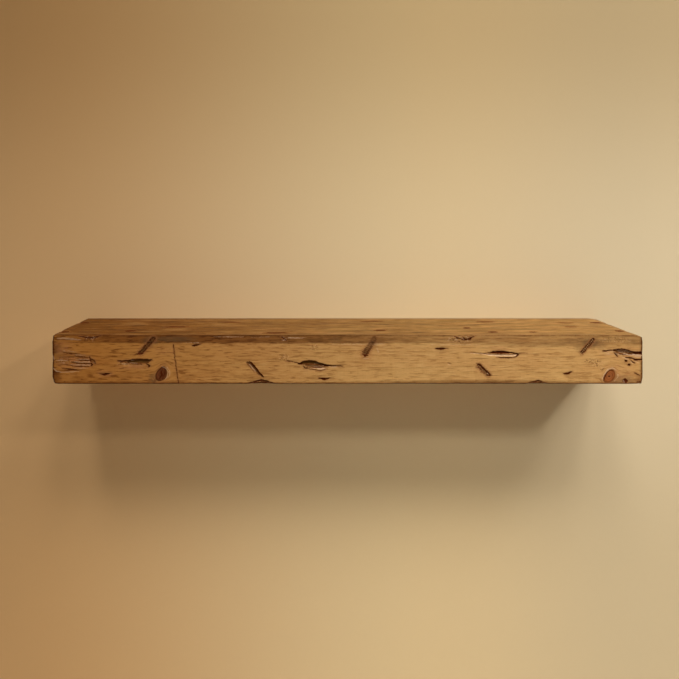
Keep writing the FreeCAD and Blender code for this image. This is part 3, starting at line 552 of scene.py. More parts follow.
def lay_grooves(field, x, z, grooves):
    """Lays grooves on a board: their outlines, tones and depth."""
    for groove in grooves:
        inset, within = inside(x, z, groove.line)
        lay(field, "hollow", inset, ink=groove.ink, bark=groove.bark)
        field["depth"] = np.maximum(field["depth"], groove.depth * fade(within * GROOVE_STEEPNESS))


def lay_cuts(field, x, z, cuts):
    """Lays cuts on a board: their outlines, paleness and depth."""
    for cut in cuts:
        inset, within = inside(x, z, cut.line)
        lay(field, "pale", inset, paleness=cut.pale)
        field["depth"] = np.maximum(field["depth"], cut.depth * fade(within * GROOVE_STEEPNESS))


def lay_creases(field, x, z, creases):
    """Lays creases on a board, which have no depth."""
    for crease in creases:
        inset, _ = inside(x, z, crease.line)
        lay(field, "crease", inset, crease_tone=crease.tone, crease_ink=crease.strength)


def lay_knots(field, x, z, knots):
    """Lays knots on a board: the distance to the nearest heart, its tone, the groove round it, its sunken
    heart, and how far the grain is pushed up or down on its way past."""
    groove_depth, groove_width = 0.5, 0.14
    for knot in knots:
        radius = knot_radius(x, z, knot)
        field["knot_tone"] = np.where(radius < field["ring"], knot.tone, field["knot_tone"])
        field["ring"] = np.minimum(field["ring"], radius)
        field["lift"] -= (z - knot.z) / np.maximum(radius, 1) ** 2
        groove = groove_depth * np.exp(-((radius - 1) / groove_width) ** 2)
        field["depth"] += groove + (0.4 + 0.6 * knot.tone) * fade((1 - radius) * 3)


def lay_rod(field, x, z, rod):
    """Lays one rod print: a trough with a dark rail along each side and ribs across its floor."""
    along, share, across, within = rod_coordinates(x, z, rod)
    reach = -1.9
    near = within > reach
    values = {"rod_along": along / THREAD_PITCH, "rod_across": across, "rod_within": within,
              "rod_ink": np.interp(share, (0, 1), (rod.start_ink, rod.end_ink)),
              "rod_far": np.full(x.shape, rod.far_rail), "rod_pale": np.full(x.shape, rod.pale),
              "bead": np.full(x.shape, rod.beads)}
    for name, value in values.items():
        field[name] = np.where(near, value, field[name])
    thread = 0.7 + 0.3 * np.cos(2 * math.pi * along / THREAD_PITCH)
    field["depth"] = np.maximum(field["depth"], rod.depth * thread * fade(within * ROD_STEEPNESS))


def sawn_depth(x, z):
    """Depth of the saw's ridges, which run along the shelf, in the rough-sawn place at the left end."""
    share = fade((SAWN_RIGHT - x) / 4) * fade((x - LEFT) / 30) * fade((z - SAWN_LOW) / 8)
    share = share * fade((SAWN_HIGH - z) / 8)
    return share * (0.3 + 0.6 * ripple(SAWN_SEED, x / 55, z / 2.6))


def front_tone(x, z, rough_x, rough_z):
    """How dark the front is: in the strip along the top, in painted shade along the bottom and at the ends.
    """
    line, height = table_at(x, STRIP_LINE), table_at(x, BOTTOM_PAINTED_SHADE_HEIGHT)
    waver = 1.5 * ripple(STRIP_SEED, x / 14, z / 9)
    strip = fade((rough_z + waver - line + 3.0) / (5.5 + 0.5 * (JOINT - line))) * table_at(x, EDGE_TONE)
    # Painted shade in a band where the rounded bottom edge faces down.
    band = fade((BOTTOM + 2 + height - rough_z) / (0.6 * height)) * table_at(x, BOTTOM_PAINTED_SHADE_TONE)
    return np.maximum(np.maximum(strip, band), patches(rough_x, rough_z, END_SHADES))


def front_fields(x, z):
    """Every mark on the front at the places (x, z)."""
    rough_x, rough_z = ragged(x, z, OUTLINE_SEED)
    field = empty_fields(x.shape)
    lay_grooves(field, rough_x, rough_z, GROOVES)
    lay_cuts(field, rough_x, rough_z, CUTS)
    lay_creases(field, rough_x, rough_z, CREASES)
    for rod in ROD_PRINTS:
        lay_rod(field, x, z, rod)
    lay_knots(field, x, z, KNOTS)
    field["depth"] += sawn_depth(x, z)
    field["smear"] = patches(rough_x, rough_z, SMEARS)
    field["bloom"] = patches(x, z, BLOOMS)
    field["speckle"] = patches(rough_x, rough_z, SPECKLES)
    field["tone"] = front_tone(x, z, rough_x, rough_z)
    field["stain"] = table_at(x, STAIN_AND_SHADE_DEPTH)
    return field


def wrapped_front_fields(flat):
    """The front's marks at points of a board, carried round its edges: full up to 2 mm behind the front and
    gone at 12 mm."""
    x, y, z = flat.T
    return faded(front_fields(x, z), fade((FRONT + 12 - y) / 10))


def dent(first, last, y, half_width, ink):
    """A dent in the top: a groove that is widest before its middle and drifts 2 mm towards the wall."""
    span = last - first
    line = ((first, y, 2.0), (first + 0.3 * span, y, half_width),
            (first + 0.7 * span, y + 1, 0.8 * half_width), (last, y + 2, 1.5))
    return Groove(line, DENT_DEPTH, ink)


def top_fields(x, y):
    """The dents in the top at the places (x, y)."""
    rough_x, rough_y = ragged(x, y, DENT_SEED, amount=1.2, size=9.0)
    field = empty_fields(x.shape)
    lay_grooves(field, rough_x, rough_y, [dent(*row) for row in TOP_DENTS])
    return field


# ---- Board meshes ----

# How far in from a rounded edge, and from a joint, the first lines of a mesh are.
EDGE_OFFSETS = (0.0, 0.35, 0.8, 1.35, 2.0, 2.8, 3.8, 5.0, 6.4)
JOINT_OFFSETS = (0.0, 0.3, 0.8)


def marked_spans():
    """First and last x of everything on the front that needs close lines."""
    margin = 6
    spans = [(min(p[0] for p in mark.line), max(p[0] for p in mark.line)) for mark in GROOVES + CUTS]
    for rod in ROD_PRINTS:
        spans.append((min(rod.start[0], rod.end[0]) - margin, max(rod.start[0], rod.end[0]) + margin))
    for knot in KNOTS:
        reach = knot.half_width + margin
        spans.append((knot.x - reach, knot.x + reach))
    spans.append((LEFT, SAWN_RIGHT + 8))
    return spans


def close_lines(low, high, spans, close, wide):
    """Lines from low to high whose gap is `close` within the spans and `wide` elsewhere. The number of lines
    passed so far is the running sum of 1 / gap, and the lines stand where it is a whole number."""
    step, margin = 0.25, 3
    places = np.arange(low, high + step, step)
    gap = np.full(places.shape, wide)
    for first, last in spans:
        gap[(places > first - margin) & (places < last + margin)] = close
    passed = np.concatenate(([0], np.cumsum(step / gap[:-1])))
    count = int(round(passed[-1]))
    return np.interp(np.linspace(0, passed[-1], count + 1), passed, places)


def with_ends(lines, low, high, low_offsets, high_offsets):
    """The lines, with closer ones at each end so that the edges can be rounded there."""
    low_lines, high_lines = low + np.array(low_offsets), high - np.array(high_offsets)[::-1]
    margin = 0.6
    middle = lines[(lines > low_lines[-1] + margin) & (lines < high_lines[0] - margin)]
    return np.concatenate((low_lines, middle, high_lines))


def lattice_side(counts, strides, axis, end):
    """Four-cornered faces over one side of a lattice: its corners in one row, and the size of each face."""
    u_axis, v_axis = (axis + 1) % 3, (axis + 2) % 3
    base, du, dv = end * (counts[axis] - 1) * strides[axis], strides[u_axis], strides[v_axis]
    u = np.arange(counts[u_axis] - 1)[:, None] * du
    v = np.arange(counts[v_axis] - 1)[None, :] * dv
    first = (base + u + v).ravel()
    corners = np.stack((first, first + du, first + du + dv, first + dv), axis=1)
    corners = corners if end else corners[:, ::-1]
    return corners.ravel(), np.full(len(corners), 4)


def spanned_side(counts, strides, axis, end):
    """One face for each interval in x, which reaches from rim to rim of the side. The first and last of
    those take in every point of the rim that they meet."""
    u_axis, v_axis = (axis + 1) % 3, (axis + 2) % 3
    other = u_axis if v_axis == 0 else v_axis
    rim = np.arange(counts[other]) * strides[other] + end * (counts[axis] - 1) * strides[axis]
    low = np.arange(counts[0]) * strides[0] + rim[0]
    high = low + rim[-1] - rim[0]
    quads = np.stack((low[1:-2], low[2:-1], high[2:-1], high[1:-2]), axis=1)
    first = np.concatenate(([low[0], low[1], high[1], high[0]], rim[-2:0:-1]))
    last = np.concatenate(([low[-2]], rim + (counts[0] - 1) * strides[0], [high[-2]]))
    turned = (u_axis == 0) != bool(end)
    if turned:
        quads, first, last = quads[:, ::-1], first[::-1], last[::-1]
    sizes = np.concatenate((np.full(len(quads), 4), [len(first)], [len(last)]))
    return np.concatenate((quads.ravel(), first, last)), sizes


def box_faces(counts, spanned):
    """Faces of a closed box on a lattice with that many lines along x, y and z, wound to face out, side by
    side. Yields (side, corners, sizes), where a corner is the number of its lattice point,
    (i · ny + j) · nz + k. The sides in `spanned` have only faces that reach across them."""
    strides = (counts[1] * counts[2], counts[2], 1)
    for axis in range(3):
        for end in (0, 1):
            make_side = spanned_side if (axis, end) in spanned else lattice_side
            corners, sizes = make_side(counts, strides, axis, end)
            yield (axis, end), corners, sizes


# Empty room round each side in the texture map, and the scale at which hidden sides are drawn in it.
GUTTER, HIDDEN_SCALE = 4.0, 0.2


def strip_map(places, side, sizes, rows, scale):
    """Texture places for one side, in millimetres: its own two axes, with the long side cut into rows that
    are stacked. Returns them with the width and height that they take up."""
    u_axis, v_axis = SIDE_AXES[side[0]]
    u, v = places[:, u_axis] * scale, places[:, v_axis] * scale
    u, v = u - u.min(), v - v.min()
    height, row_length = v.max() + GUTTER, u.max() / rows
    starts = np.concatenate(([0], np.cumsum(sizes)[:-1]))
    middle = np.add.reduceat(u, starts) / sizes
    row = np.repeat(np.clip(np.floor(middle / row_length), 0, rows - 1), sizes)
    u, v = u - row * row_length, v + row * height
    u = u - u.min()
    return u, v, u.max() + GUTTER, rows * height


def add_texture_map(mesh, pieces, rows, hidden):
    """A texture map with every side apart from the others: the sides are laid from left to right and, where
    one doesn't fit, in a new line. Long sides are cut into rows, and hidden sides are drawn small."""
    placed = [strip_map(places, side, sizes, rows if side[0] else 1, HIDDEN_SCALE if side in hidden else 1.0)
              for side, places, sizes in pieces]
    width = max(piece[2] for piece in placed)
    x, y, line_height = 0.0, 0.0, 0.0
    corners = [None] * len(placed)
    for index in sorted(range(len(placed)), key=lambda i: -placed[i][3]):
        u, v, wide, high = placed[index]
        if x > 0 and x + wide > width:
            x, y, line_height = 0.0, y + line_height, 0.0
        corners[index] = np.stack((u + x, v + y), axis=1)
        x, line_height = x + wide, max(line_height, high)
    side_length = max(width, y + line_height) + GUTTER
    places = (np.concatenate(corners) + GUTTER / 2) / side_length
    layer = mesh.uv_layers.new(name="OFBake")
    layer.uv.foreach_set("vector", places.astype(np.float32).ravel())


def new_mesh(name, points, corners, sizes):
    """A mesh from points in millimetres, the corners of all its faces in one row and each face's size."""
    mesh = bpy.data.meshes.new(name)
    mesh.vertices.add(len(points))
    mesh.vertices.foreach_set("co", (points / MM).astype(np.float32).ravel())
    mesh.loops.add(len(corners))
    mesh.loops.foreach_set("vertex_index", corners.astype(np.int32))
    mesh.polygons.add(len(sizes))
    starts = np.concatenate(([0], np.cumsum(sizes)[:-1]))
    mesh.polygons.foreach_set("loop_start", starts.astype(np.int32))
    mesh.polygons.foreach_set("loop_total", sizes.astype(np.int32))
    mesh.update(calc_edges=True)
    return mesh


def add_field(mesh, name, values):
    """One number, or one vector, for each point of the mesh, which the finish reads by name."""
    vector = values.ndim == 2
    layer = mesh.attributes.new(name, "FLOAT_VECTOR" if vector else "FLOAT", "POINT")
    layer.data.foreach_set("vector" if vector else "value", values.astype(np.float32).ravel())


# How dark the wear is on the long top edge, on the long bottom edge and on the edges across the ends, where
# the upright edges have 1, and how much further in it reaches from the ends.
TOP_WEAR, BOTTOM_WEAR, CROSS_WEAR, END_STRETCH = 0.72, 0.84, 0.35, 1.5


def edge_closeness(points, reach):
    """How near each point is to an outer edge, from 0 at `reach` from it to the edge's own wear. The
    distance to an edge is the larger of the distances to its two faces. The edges at the back have none."""
    x, y, z = points.T
    ends = np.minimum(x - LEFT, RIGHT - x) / END_STRETCH
    front, level = y - FRONT, np.minimum(z - BOTTOM, TOP - z)
    pairs = ((ends, front), (level, front), (level, ends))
    upright, long, cross = (1 - np.maximum(a, b) / reach for a, b in pairs)
    long *= np.where(z > JOINT, TOP_WEAR, BOTTOM_WEAR)
    return np.clip(np.maximum(np.maximum(upright, long), CROSS_WEAR * cross), 0, 1)


def edge_radius(points, settings, joints):
    """How far the board's edges are rounded off near each point, in millimetres: the eased radius with slow
    and quick noise along the edge, less at the shelf's ends, more in the chips, and only a crack's width
    where the board meets another."""
    x, y, z = points.T
    along = x + y + z
    slow, quick = ripple(SLOW_EDGE_SEED, along / 38, y / 60), ripple(QUICK_EDGE_SEED, along / 9, z / 20)
    radius = settings.edge_radius * MM * (1 + 0.30 * slow + 0.22 * quick)
    radius *= 1 - 0.58 * fade(1.2 - np.minimum(x - LEFT, RIGHT - x) / 12)
    for chip in CHIPS:
        away = np.sqrt(((x - chip.x) / chip.half_length) ** 2 + ((y - chip.y) / chip.reach) ** 2
                       + ((z - chip.z) / chip.reach) ** 2)
        radius += chip.radius * fade(1.4 - away) * (1 + 0.35 * ripple(CHIP_SEED, along / 3.5, z / 3.5))
    outer = np.ones(len(points))
    for axis, place in joints:
        outer *= fade(np.abs(points[:, axis] - place) / 8)
    joint = settings.joint_radius * MM * (1 + 0.5 * ripple(JOINT_SEED, along / 15, z / 40))
    return joint + (radius - joint) * outer


def carved_points(flat, low, high, radius, depths):
    """Points of a sharp box moved onto the worn board, and the way that each one faces. The nearest place
    of an inner box, smaller by the radius, stays, and the step out from it is made the radius long, less the
    carved depth. The depth of each side counts by the square of the share of the step that is towards that
    side."""
    largest_share = 0.45
    radius = np.minimum(radius, largest_share * (high - low).min())[:, None]
    core = np.clip(flat, low + radius, high - radius)
    step = flat - core
    step /= np.linalg.norm(step, axis=1, keepdims=True)
    cut = np.zeros(len(flat))
    for (axis, end), depth in depths.items():
        towards = np.maximum(step[:, axis] * (1 if end else -1), 0)
        cut += depth * towards**2
    return core + step * (radius - cut[:, None]), step


# The axes along and across a board's grain, for boards whose grain runs along x and along y.
GRAIN_ALONG_X, GRAIN_ALONG_Y = (0, 1, 2), (1, 0, 2)


def make_board(name, lines, settings, *, spanned, hidden, joints, rows, fields, depths, pith, grain,
               drop=None):
    """A board as one closed shell on a lattice of lines. `spanned` sides are flat and meet other boards,
    `hidden` ones are small in the texture map, where long sides have that many `rows`, and `joints` are
    the (axis, place) of its joints. `fields` and `depths` are worked out from the flat points. `grain` puts
    the axis along the grain first, and `pith` is the place that the growth rings are round. `drop` says how
    far each finished point comes down."""
    low = np.array([line[0] for line in lines])
    high = np.array([line[-1] for line in lines])
    counts = [len(line) for line in lines]
    sides = list(box_faces(counts, spanned))
    keys, corners = np.unique(np.concatenate([side[1] for side in sides]), return_inverse=True)
    i, rest = np.divmod(keys, counts[1] * counts[2])
    j, k = np.divmod(rest, counts[2])
    flat = np.stack((lines[0][i], lines[1][j], lines[2][k]), axis=1)
    radius = edge_radius(flat, settings, joints)
    found = fields(flat)
    points, step = carved_points(flat, low, high, radius, depths(flat, found))
    if drop:
        points[:, 2] -= drop(points)
    sizes = np.concatenate([side[2] for side in sides])
    mesh = new_mesh(name, points, corners, sizes)
    ends = np.cumsum([len(side[1]) for side in sides])
    pieces = [(side[0], flat[corners[last - len(side[1]):last]], side[2]) for side, last in zip(sides, ends)]
    add_texture_map(mesh, pieces, rows, hidden)
    wood = flat.copy()
    wood[:, 2] += found["lift"]
    wood = (wood - np.array(pith))[:, list(grain)] / MM
    add_field(mesh, "wood_place", wood)
    add_field(mesh, "end_grain", step[:, grain[0]] ** 2)
    add_field(mesh, "level", np.maximum(step[:, 2], 0) ** 2)
    add_field(mesh, "edge_wear", edge_closeness(flat, settings.wear_reach * MM))
    for field in SHOWN_FIELDS:
        add_field(mesh, field, found[field])
    add_field(mesh, "rod", np.stack((found["rod_along"], found["rod_across"], found["rod_within"]), axis=1))
    mesh.shade_smooth()
    mesh.set_sharp_from_angle(angle=math.radians(50))
    board = bpy.data.objects.new(name, mesh)
    bpy.context.scene.collection.objects.link(board)
    return board


def surface_waves(seed, along, across):
    """Depth of the hand-planed unevenness: long waves of 0.3 mm and short ones of 0.15 mm."""
    long_waves, short_waves = ripple(seed, along / 120, across / 30), ripple(seed + 1, along / 22, across / 7)
    return 0.15 * (1 + long_waves) + 0.075 * (1 + short_waves)


def side_waves(seeds, flat):
    """The unevenness of each side that has a seed, along the side's own two axes."""
    return {side: surface_waves(seed, *(flat[:, axis] for axis in SIDE_AXES[side[0]]))
            for side, seed in seeds.items()}


# ---- Finishes ----

def srgb(red, green, blue):
    """A linear colour from sRGB numbers of 0 to 255: ((c + 0.055) / 1.055) to the power 2.4, and c / 12.92
    in the darkest part."""
    share = np.array((red, green, blue)) / 255
    linear = np.where(share <= 0.04045, share / 12.92, ((share + 0.055) / 1.055) ** 2.4)
    return tuple(float(c) for c in linear)


class Finish:
    """A material being made. Each method adds a node and gives its output."""

    def __init__(self, name):
        self.material = bpy.data.materials.new(name)
        self.material.use_nodes = True
        self.tree = self.material.node_tree
        self.shader = self.tree.nodes["Principled BSDF"]

    def feed(self, socket, value):
        """Links an output to the socket, or sets its number, or its colour with full alpha."""
        if isinstance(value, bpy.types.NodeSocket):
            self.tree.links.new(value, socket)
        elif socket.type == "RGBA":
            socket.default_value = (*value, 1.0)
        else:
            socket.default_value = value

    def add(self, kind, inputs, output=0, **settings):
        """A node with its settings and inputs, by name or number."""
        node = self.tree.nodes.new("ShaderNode" + kind)
        for name, value in settings.items():
            setattr(node, name, value)
        for name, value in inputs.items():
            self.feed(node.inputs[name], value)
        return node.outputs[output]

    def field(self, name, output="Fac"):
        """A field that the mesh holds."""
        return self.add("Attribute", {}, output, attribute_name=name)

    def object_place(self):
        """The place in the object's own frame."""
        return self.add("TexCoord", {}, "Object")

    def sum(self, a, b):
        """a + b"""
        return self.add("Math", {0: a, 1: b}, operation="ADD")

    def minus(self, a, b):
        """a - b"""
        return self.add("Math", {0: a, 1: b}, operation="SUBTRACT")

    def times(self, a, b):
        """a · b"""
        return self.add("Math", {0: a, 1: b}, operation="MULTIPLY")

    def step(self, value, low, high, to_low=0.0, to_high=1.0):
        """A smooth step of the value from low to high."""
        return self.add("MapRange", {"Value": value, "From Min": low, "From Max": high, "To Min": to_low,
                                     "To Max": to_high}, interpolation_type="SMOOTHSTEP")

    def stretched(self, place, scale, shift=(0.0, 0.0, 0.0)):
        """The place with each axis scaled, then shifted."""
        return self.add("VectorMath", {0: place, 1: scale, 2: shift}, operation="MULTIPLY_ADD")

    def noise(self, place, scale, detail=2.0, roughness=0.5, shift=(0.0, 0.0, 0.0), output=0):
        """Noise at so many cells in a metre along each axis."""
        cells = self.stretched(place, scale, shift)
        return self.add("TexNoise", {"Vector": cells, "Scale": 1.0, "Detail": detail, "Roughness": roughness},
                        output)

    def blend(self, share, a, b, mode="MIX"):
        """Colour a taken to colour b by the share."""
        return self.add("Mix", {0: share, 6: a, 7: b}, 2, data_type="RGBA", blend_type=mode)

    def darken(self, colour, share, shade):
        """The colour multiplied by the shade, by the share."""
        return self.blend(share, colour, shade, "MULTIPLY")

    def bump(self, height, distance, strength=1.0):
        """A surface raised by the height, in metres at a height of 1."""
        normal = self.add("Bump", {"Height": height, "Distance": distance, "Strength": strength})
        self.feed(self.shader.inputs["Normal"], normal)

    def surface(self, **inputs):
        """Sets the shader's inputs, by name with underscores for spaces."""
        for name, value in inputs.items():
            self.feed(self.shader.inputs[name.replace("_", " ")], value)


def pine_figure(finish, place, ring_width):
    """The figure of sawn pine whose grain runs along the first axis, with the pith at the origin. Growth
    rings: the distance to the pith line, which wanders with slow noise, counted in ring widths, and each
    ring darkens up to a thin hard line, which shows in stretches only. Streaks, fibres and dashes are noise
    stretched along the grain. Gives all four, from 0 to 1."""
    wander = finish.noise(place, (1.6, 7.0, 7.0), detail=3.0, output=1)
    wander = finish.stretched(wander, (0.0, 0.034, 0.034))
    flat_place = finish.stretched(place, (0.0, 1.0, 1.0), wander)
    away = finish.add("VectorMath", {0: flat_place}, "Value", operation="LENGTH")
    ring = finish.add("Math", {0: finish.times(away, 1 / ring_width)}, operation="FRACT")
    late = finish.times(finish.step(ring, 0.30, 0.85), finish.step(ring, 1.0, 0.90))
    stretches = finish.noise(place, (26.0, 120.0, 120.0), detail=2.0, shift=(2.0, 2.0, 7.0))
    late = finish.times(late, finish.step(stretches, 0.42, 0.62))
    streaks = finish.noise(place, (14.0, 170.0, 170.0), detail=3.0, roughness=0.6)
    fibres = finish.noise(place, (70.0, 1100.0, 1100.0), detail=2.0, roughness=0.6, shift=(3.0, 7.0, 1.0))
    dashes = finish.noise(place, (34.0, 280.0, 280.0), detail=3.0, roughness=0.5, shift=(9.0, 2.0, 5.0))
    return late, streaks, fibres, dashes


# Where the bottom board, which isn't carved, lies in its log, and how deep the stain took on it.
PLAIN_BOARD_SHIFT = (0.7, 0.3, 0.12)
PLAIN_STAIN_DEPTH = 0.5
# Width of a growth ring in the stained boards and in the bare wood, in metres.
BOARD_RING, FRAME_RING = 0.0068, 0.0045


def stained_pine(name, colours, carved):
    """Pine stained brown under a thin matte wax. The stain lies darker in the late wood, in streaks and
    dashes, on end grain and in a line along the outer edges, and turns reddish where it took deeper. A
    carved board holds its own wood places and its marks."""
    finish = Finish(name)
    if carved:
        place = finish.field("wood_place", "Vector")
        depth = finish.field("stain")
    else:
        place = finish.add("Mapping", {"Vector": finish.object_place(), "Location": PLAIN_BOARD_SHIFT})
        depth = PLAIN_STAIN_DEPTH
    late, streaks, fibres, dashes = pine_figure(finish, place, BOARD_RING)
    cloud = finish.noise(place, (6.0, 22.0, 22.0), detail=3.0)
    wood = finish.blend(finish.step(cloud, 0.3, 0.7), colours.stain_light, colours.stain_mid)
    wood = finish.blend(finish.step(streaks, 0.46, 0.68, 0.0, 0.30), wood, colours.stain_deep)
    wood = finish.blend(finish.times(late, 0.32), wood, colours.late_wood)
    wood = finish.blend(finish.step(fibres, 0.35, 0.75, 0.0, 0.16), wood, colours.stain_deep)
    dash = finish.step(dashes, 0.56, 0.635)
    dash_share = finish.sum(finish.times(depth, 0.38), 0.34)
    wood = finish.blend(finish.times(dash, dash_share), wood, colours.late_wood)
    wood = finish.blend(finish.step(dashes, 0.46, 0.36, 0.0, 0.40), wood, colours.stain_pale)
    # Deeper stain turns the wood reddish; towards the left end this is also painted shade.
    wood = finish.darken(wood, depth, colours.red_shade)
    height = finish.sum(finish.times(fibres, 0.4), finish.times(late, 0.15))
    height = finish.minus(height, finish.times(dash, 0.6))
    chatter = finish.noise(place, (170.0, 34.0, 34.0), detail=2.0)
    height = finish.sum(height, finish.times(chatter, 1.2))
    roughness = finish.step(streaks, 0.3, 0.7, 0.52, 0.66)
    if carved:
        wood, height, roughness = add_marks(finish, colours, place, wood, height, roughness, fibres)
    finish.surface(Base_Color=wood, Roughness=roughness, Specular_IOR_Level=0.05)
    finish.bump(height, 0.0006, 0.8)
    return finish.material


# The noises that the marks share. Fray pushes outlines in and out, and goes from about -1 to 1.
Noises = namedtuple("Noises", "fibres crumb blotch fray")


def add_marks(finish, colours, place, wood, height, roughness, fibres):
    """Lays the marks that the mesh holds over the wood, and gives the colour, height and roughness with
    them."""
    grit = finish.noise(place, (420.0, 700.0, 700.0), detail=3.0, roughness=0.7)
    crumb = finish.noise(place, (160.0, 260.0, 260.0), detail=2.0, shift=(4.0, 4.0, 4.0))
    blotch = finish.noise(place, (80.0, 110.0, 110.0), detail=3.0, shift=(8.0, 3.0, 6.0))
    fray = finish.sum(finish.times(finish.minus(grit, 0.5), 2.2), finish.times(finish.minus(crumb, 0.5), 2.2))
    noises = Noises(fibres, crumb, blotch, fray)

    wood = add_tones(finish, colours, place, wood)
    wood = add_smears(finish, colours, wood, noises)
    wood = add_knots(finish, colours, wood, noises)
    wood = add_edge_lines(finish, colours, wood, noises)
    wood, dark, fresh = add_gouges(finish, colours, wood, noises)
    wood = add_rods(finish, colours, wood, noises)
    wood = add_creases(finish, colours, wood, noises, fresh)
    wood, speckle = add_speckles(finish, colours, wood, place)

    height = finish.sum(height, finish.times(dark, finish.times(grit, 2.5)))
    height = finish.minus(height, finish.times(speckle, 1.2))
    roughness = finish.sum(roughness, finish.times(dark, 0.25))
    return wood, height, roughness


def add_tones(finish, colours, place, wood):
    """Darkens end grain, the strip of darker stain, the painted shade along the bottom, and the top board,
    whose darker face is partly stain and partly painted shade, mottled and in bands and lines along the
    grain."""
    wood = finish.darken(wood, finish.field("end_grain"), colours.end_shade)
    tone, level = finish.field("tone"), finish.field("level")
    # Upward faces take the top shade, which is partly painted shade.
    shade = finish.blend(level, colours.strip_shade, colours.top_shade)
    wood = finish.darken(wood, tone, shade)
    mottle = finish.noise(place, (24.0, 190.0, 190.0), detail=4.0, roughness=0.6, shift=(6.0, 1.0, 4.0))
    bands = finish.noise(place, (7.0, 42.0, 42.0), detail=2.0, shift=(3.0, 5.0, 2.0))
    lines = finish.noise(place, (12.0, 95.0, 95.0), detail=1.0, shift=(1.0, 8.0, 3.0))
    level = finish.times(level, finish.step(tone, 0.3, 0.6))
    share = finish.times(finish.step(mottle, 0.46, 0.62), finish.times(tone, 0.62))
    wood = finish.darken(wood, share, colours.edge_shade)
    share = finish.times(finish.step(bands, 0.44, 0.64), finish.times(level, 0.36))
    wood = finish.darken(wood, share, colours.top_shade)
    share = finish.times(finish.step(lines, 0.61, 0.67), finish.times(level, 0.60))
    wood = finish.darken(wood, share, colours.top_shade)
    share = finish.times(finish.step(bands, 0.45, 0.33), finish.times(level, 0.12))
    return finish.blend(share, wood, colours.stain_pale)


def add_smears(finish, colours, wood, noises):
    """Smears of grey-brown stain and painted shadow, and the reddish bloom beside gouges and knots."""
    smear = finish.times(finish.field("smear"), finish.step(noises.crumb, 0.25, 0.6, 0.6, 1.0))
    wood = finish.blend(smear, wood, colours.smear)
    bloom = finish.times(finish.field("bloom"), finish.step(noises.blotch, 0.40, 0.62, 0.15, 0.55))
    return finish.blend(bloom, wood, colours.bloom)


def add_knots(finish, colours, wood, noises):
    """Knots: growth rings of a sine of the distance to the heart, pushed about by noise, a dark rim that
    comes and goes, and reddish wood round it."""
    ring = finish.sum(finish.field("ring"), finish.times(finish.minus(noises.blotch, 0.5), 0.30))
    heart = finish.blend(finish.field("knot_tone"), colours.knot_live, colours.knot_dead)
    turns = finish.sum(finish.times(ring, 20.0), finish.times(noises.crumb, 9.0))
    turns = finish.add("Math", {0: turns}, operation="SINE")
    heart = finish.darken(heart, finish.step(turns, -1.0, 1.0, 0.0, 0.35), colours.edge_shade)
    heart = finish.darken(heart, finish.step(noises.blotch, 0.45, 0.65, 0.0, 0.6), colours.edge_shade)
    outside = finish.times(finish.step(ring, 1.9, 1.0), 0.36)
    wood = finish.blend(outside, wood, colours.halo)
    wood = finish.blend(finish.step(ring, 1.08, 0.92), wood, heart)
    rim = finish.times(finish.step(ring, 0.76, 0.96), finish.step(ring, 1.12, 0.98))
    rim = finish.times(rim, finish.sum(finish.times(finish.field("knot_tone"), 0.30), 0.65))
    rim = finish.times(rim, finish.step(noises.crumb, 0.30, 0.60, 0.45, 0.95))
    return finish.blend(rim, wood, colours.edge_line)


def add_edge_lines(finish, colours, wood, noises):
    """Darker wear towards the outer edges, and a ragged line of gathered stain along them."""
    edge = finish.sum(finish.field("edge_wear"), finish.times(noises.fray, 0.16))
    wood = finish.darken(wood, finish.step(edge, 0.06, 0.68, 0.0, 0.42), colours.edge_shade)
    return finish.blend(finish.step(edge, 0.46, 0.80, 0.0, 0.92), wood, colours.edge_line)


def add_gouges(finish, colours, wood, noises):
    """Grooves with a reddish halo, a dark floor and bark in the deepest part, and cuts down to fresh wood.
    Gives the share of dark floor and the fresh wood's colour too."""
    hollow = finish.sum(finish.field("hollow"), noises.fray)
    ink = finish.field("ink")
    halo = finish.times(finish.times(finish.step(hollow, -4.5, 0.0), ink), 0.42)
    wood = finish.blend(halo, wood, colours.halo)
    pale = finish.step(finish.sum(finish.field("pale"), noises.fray), -0.4, 0.9)
    pale = finish.times(pale, finish.field("paleness"))
    grain = finish.step(noises.fibres, 0.3, 0.7, 0.0, 0.25)
    fresh = finish.darken(colours.cut, grain, colours.stain_light)
    wood = finish.blend(pale, wood, fresh)
    dark = finish.times(finish.step(hollow, -0.5, 0.9), ink)
    core = finish.times(finish.step(hollow, 0.7, 2.4), finish.step(noises.fibres, 0.36, 0.62, 0.35, 1.0))
    bark = finish.times(finish.field("bark"), core)
    floor = finish.blend(bark, colours.gouge, colours.bark)
    return finish.blend(dark, wood, floor), dark, fresh


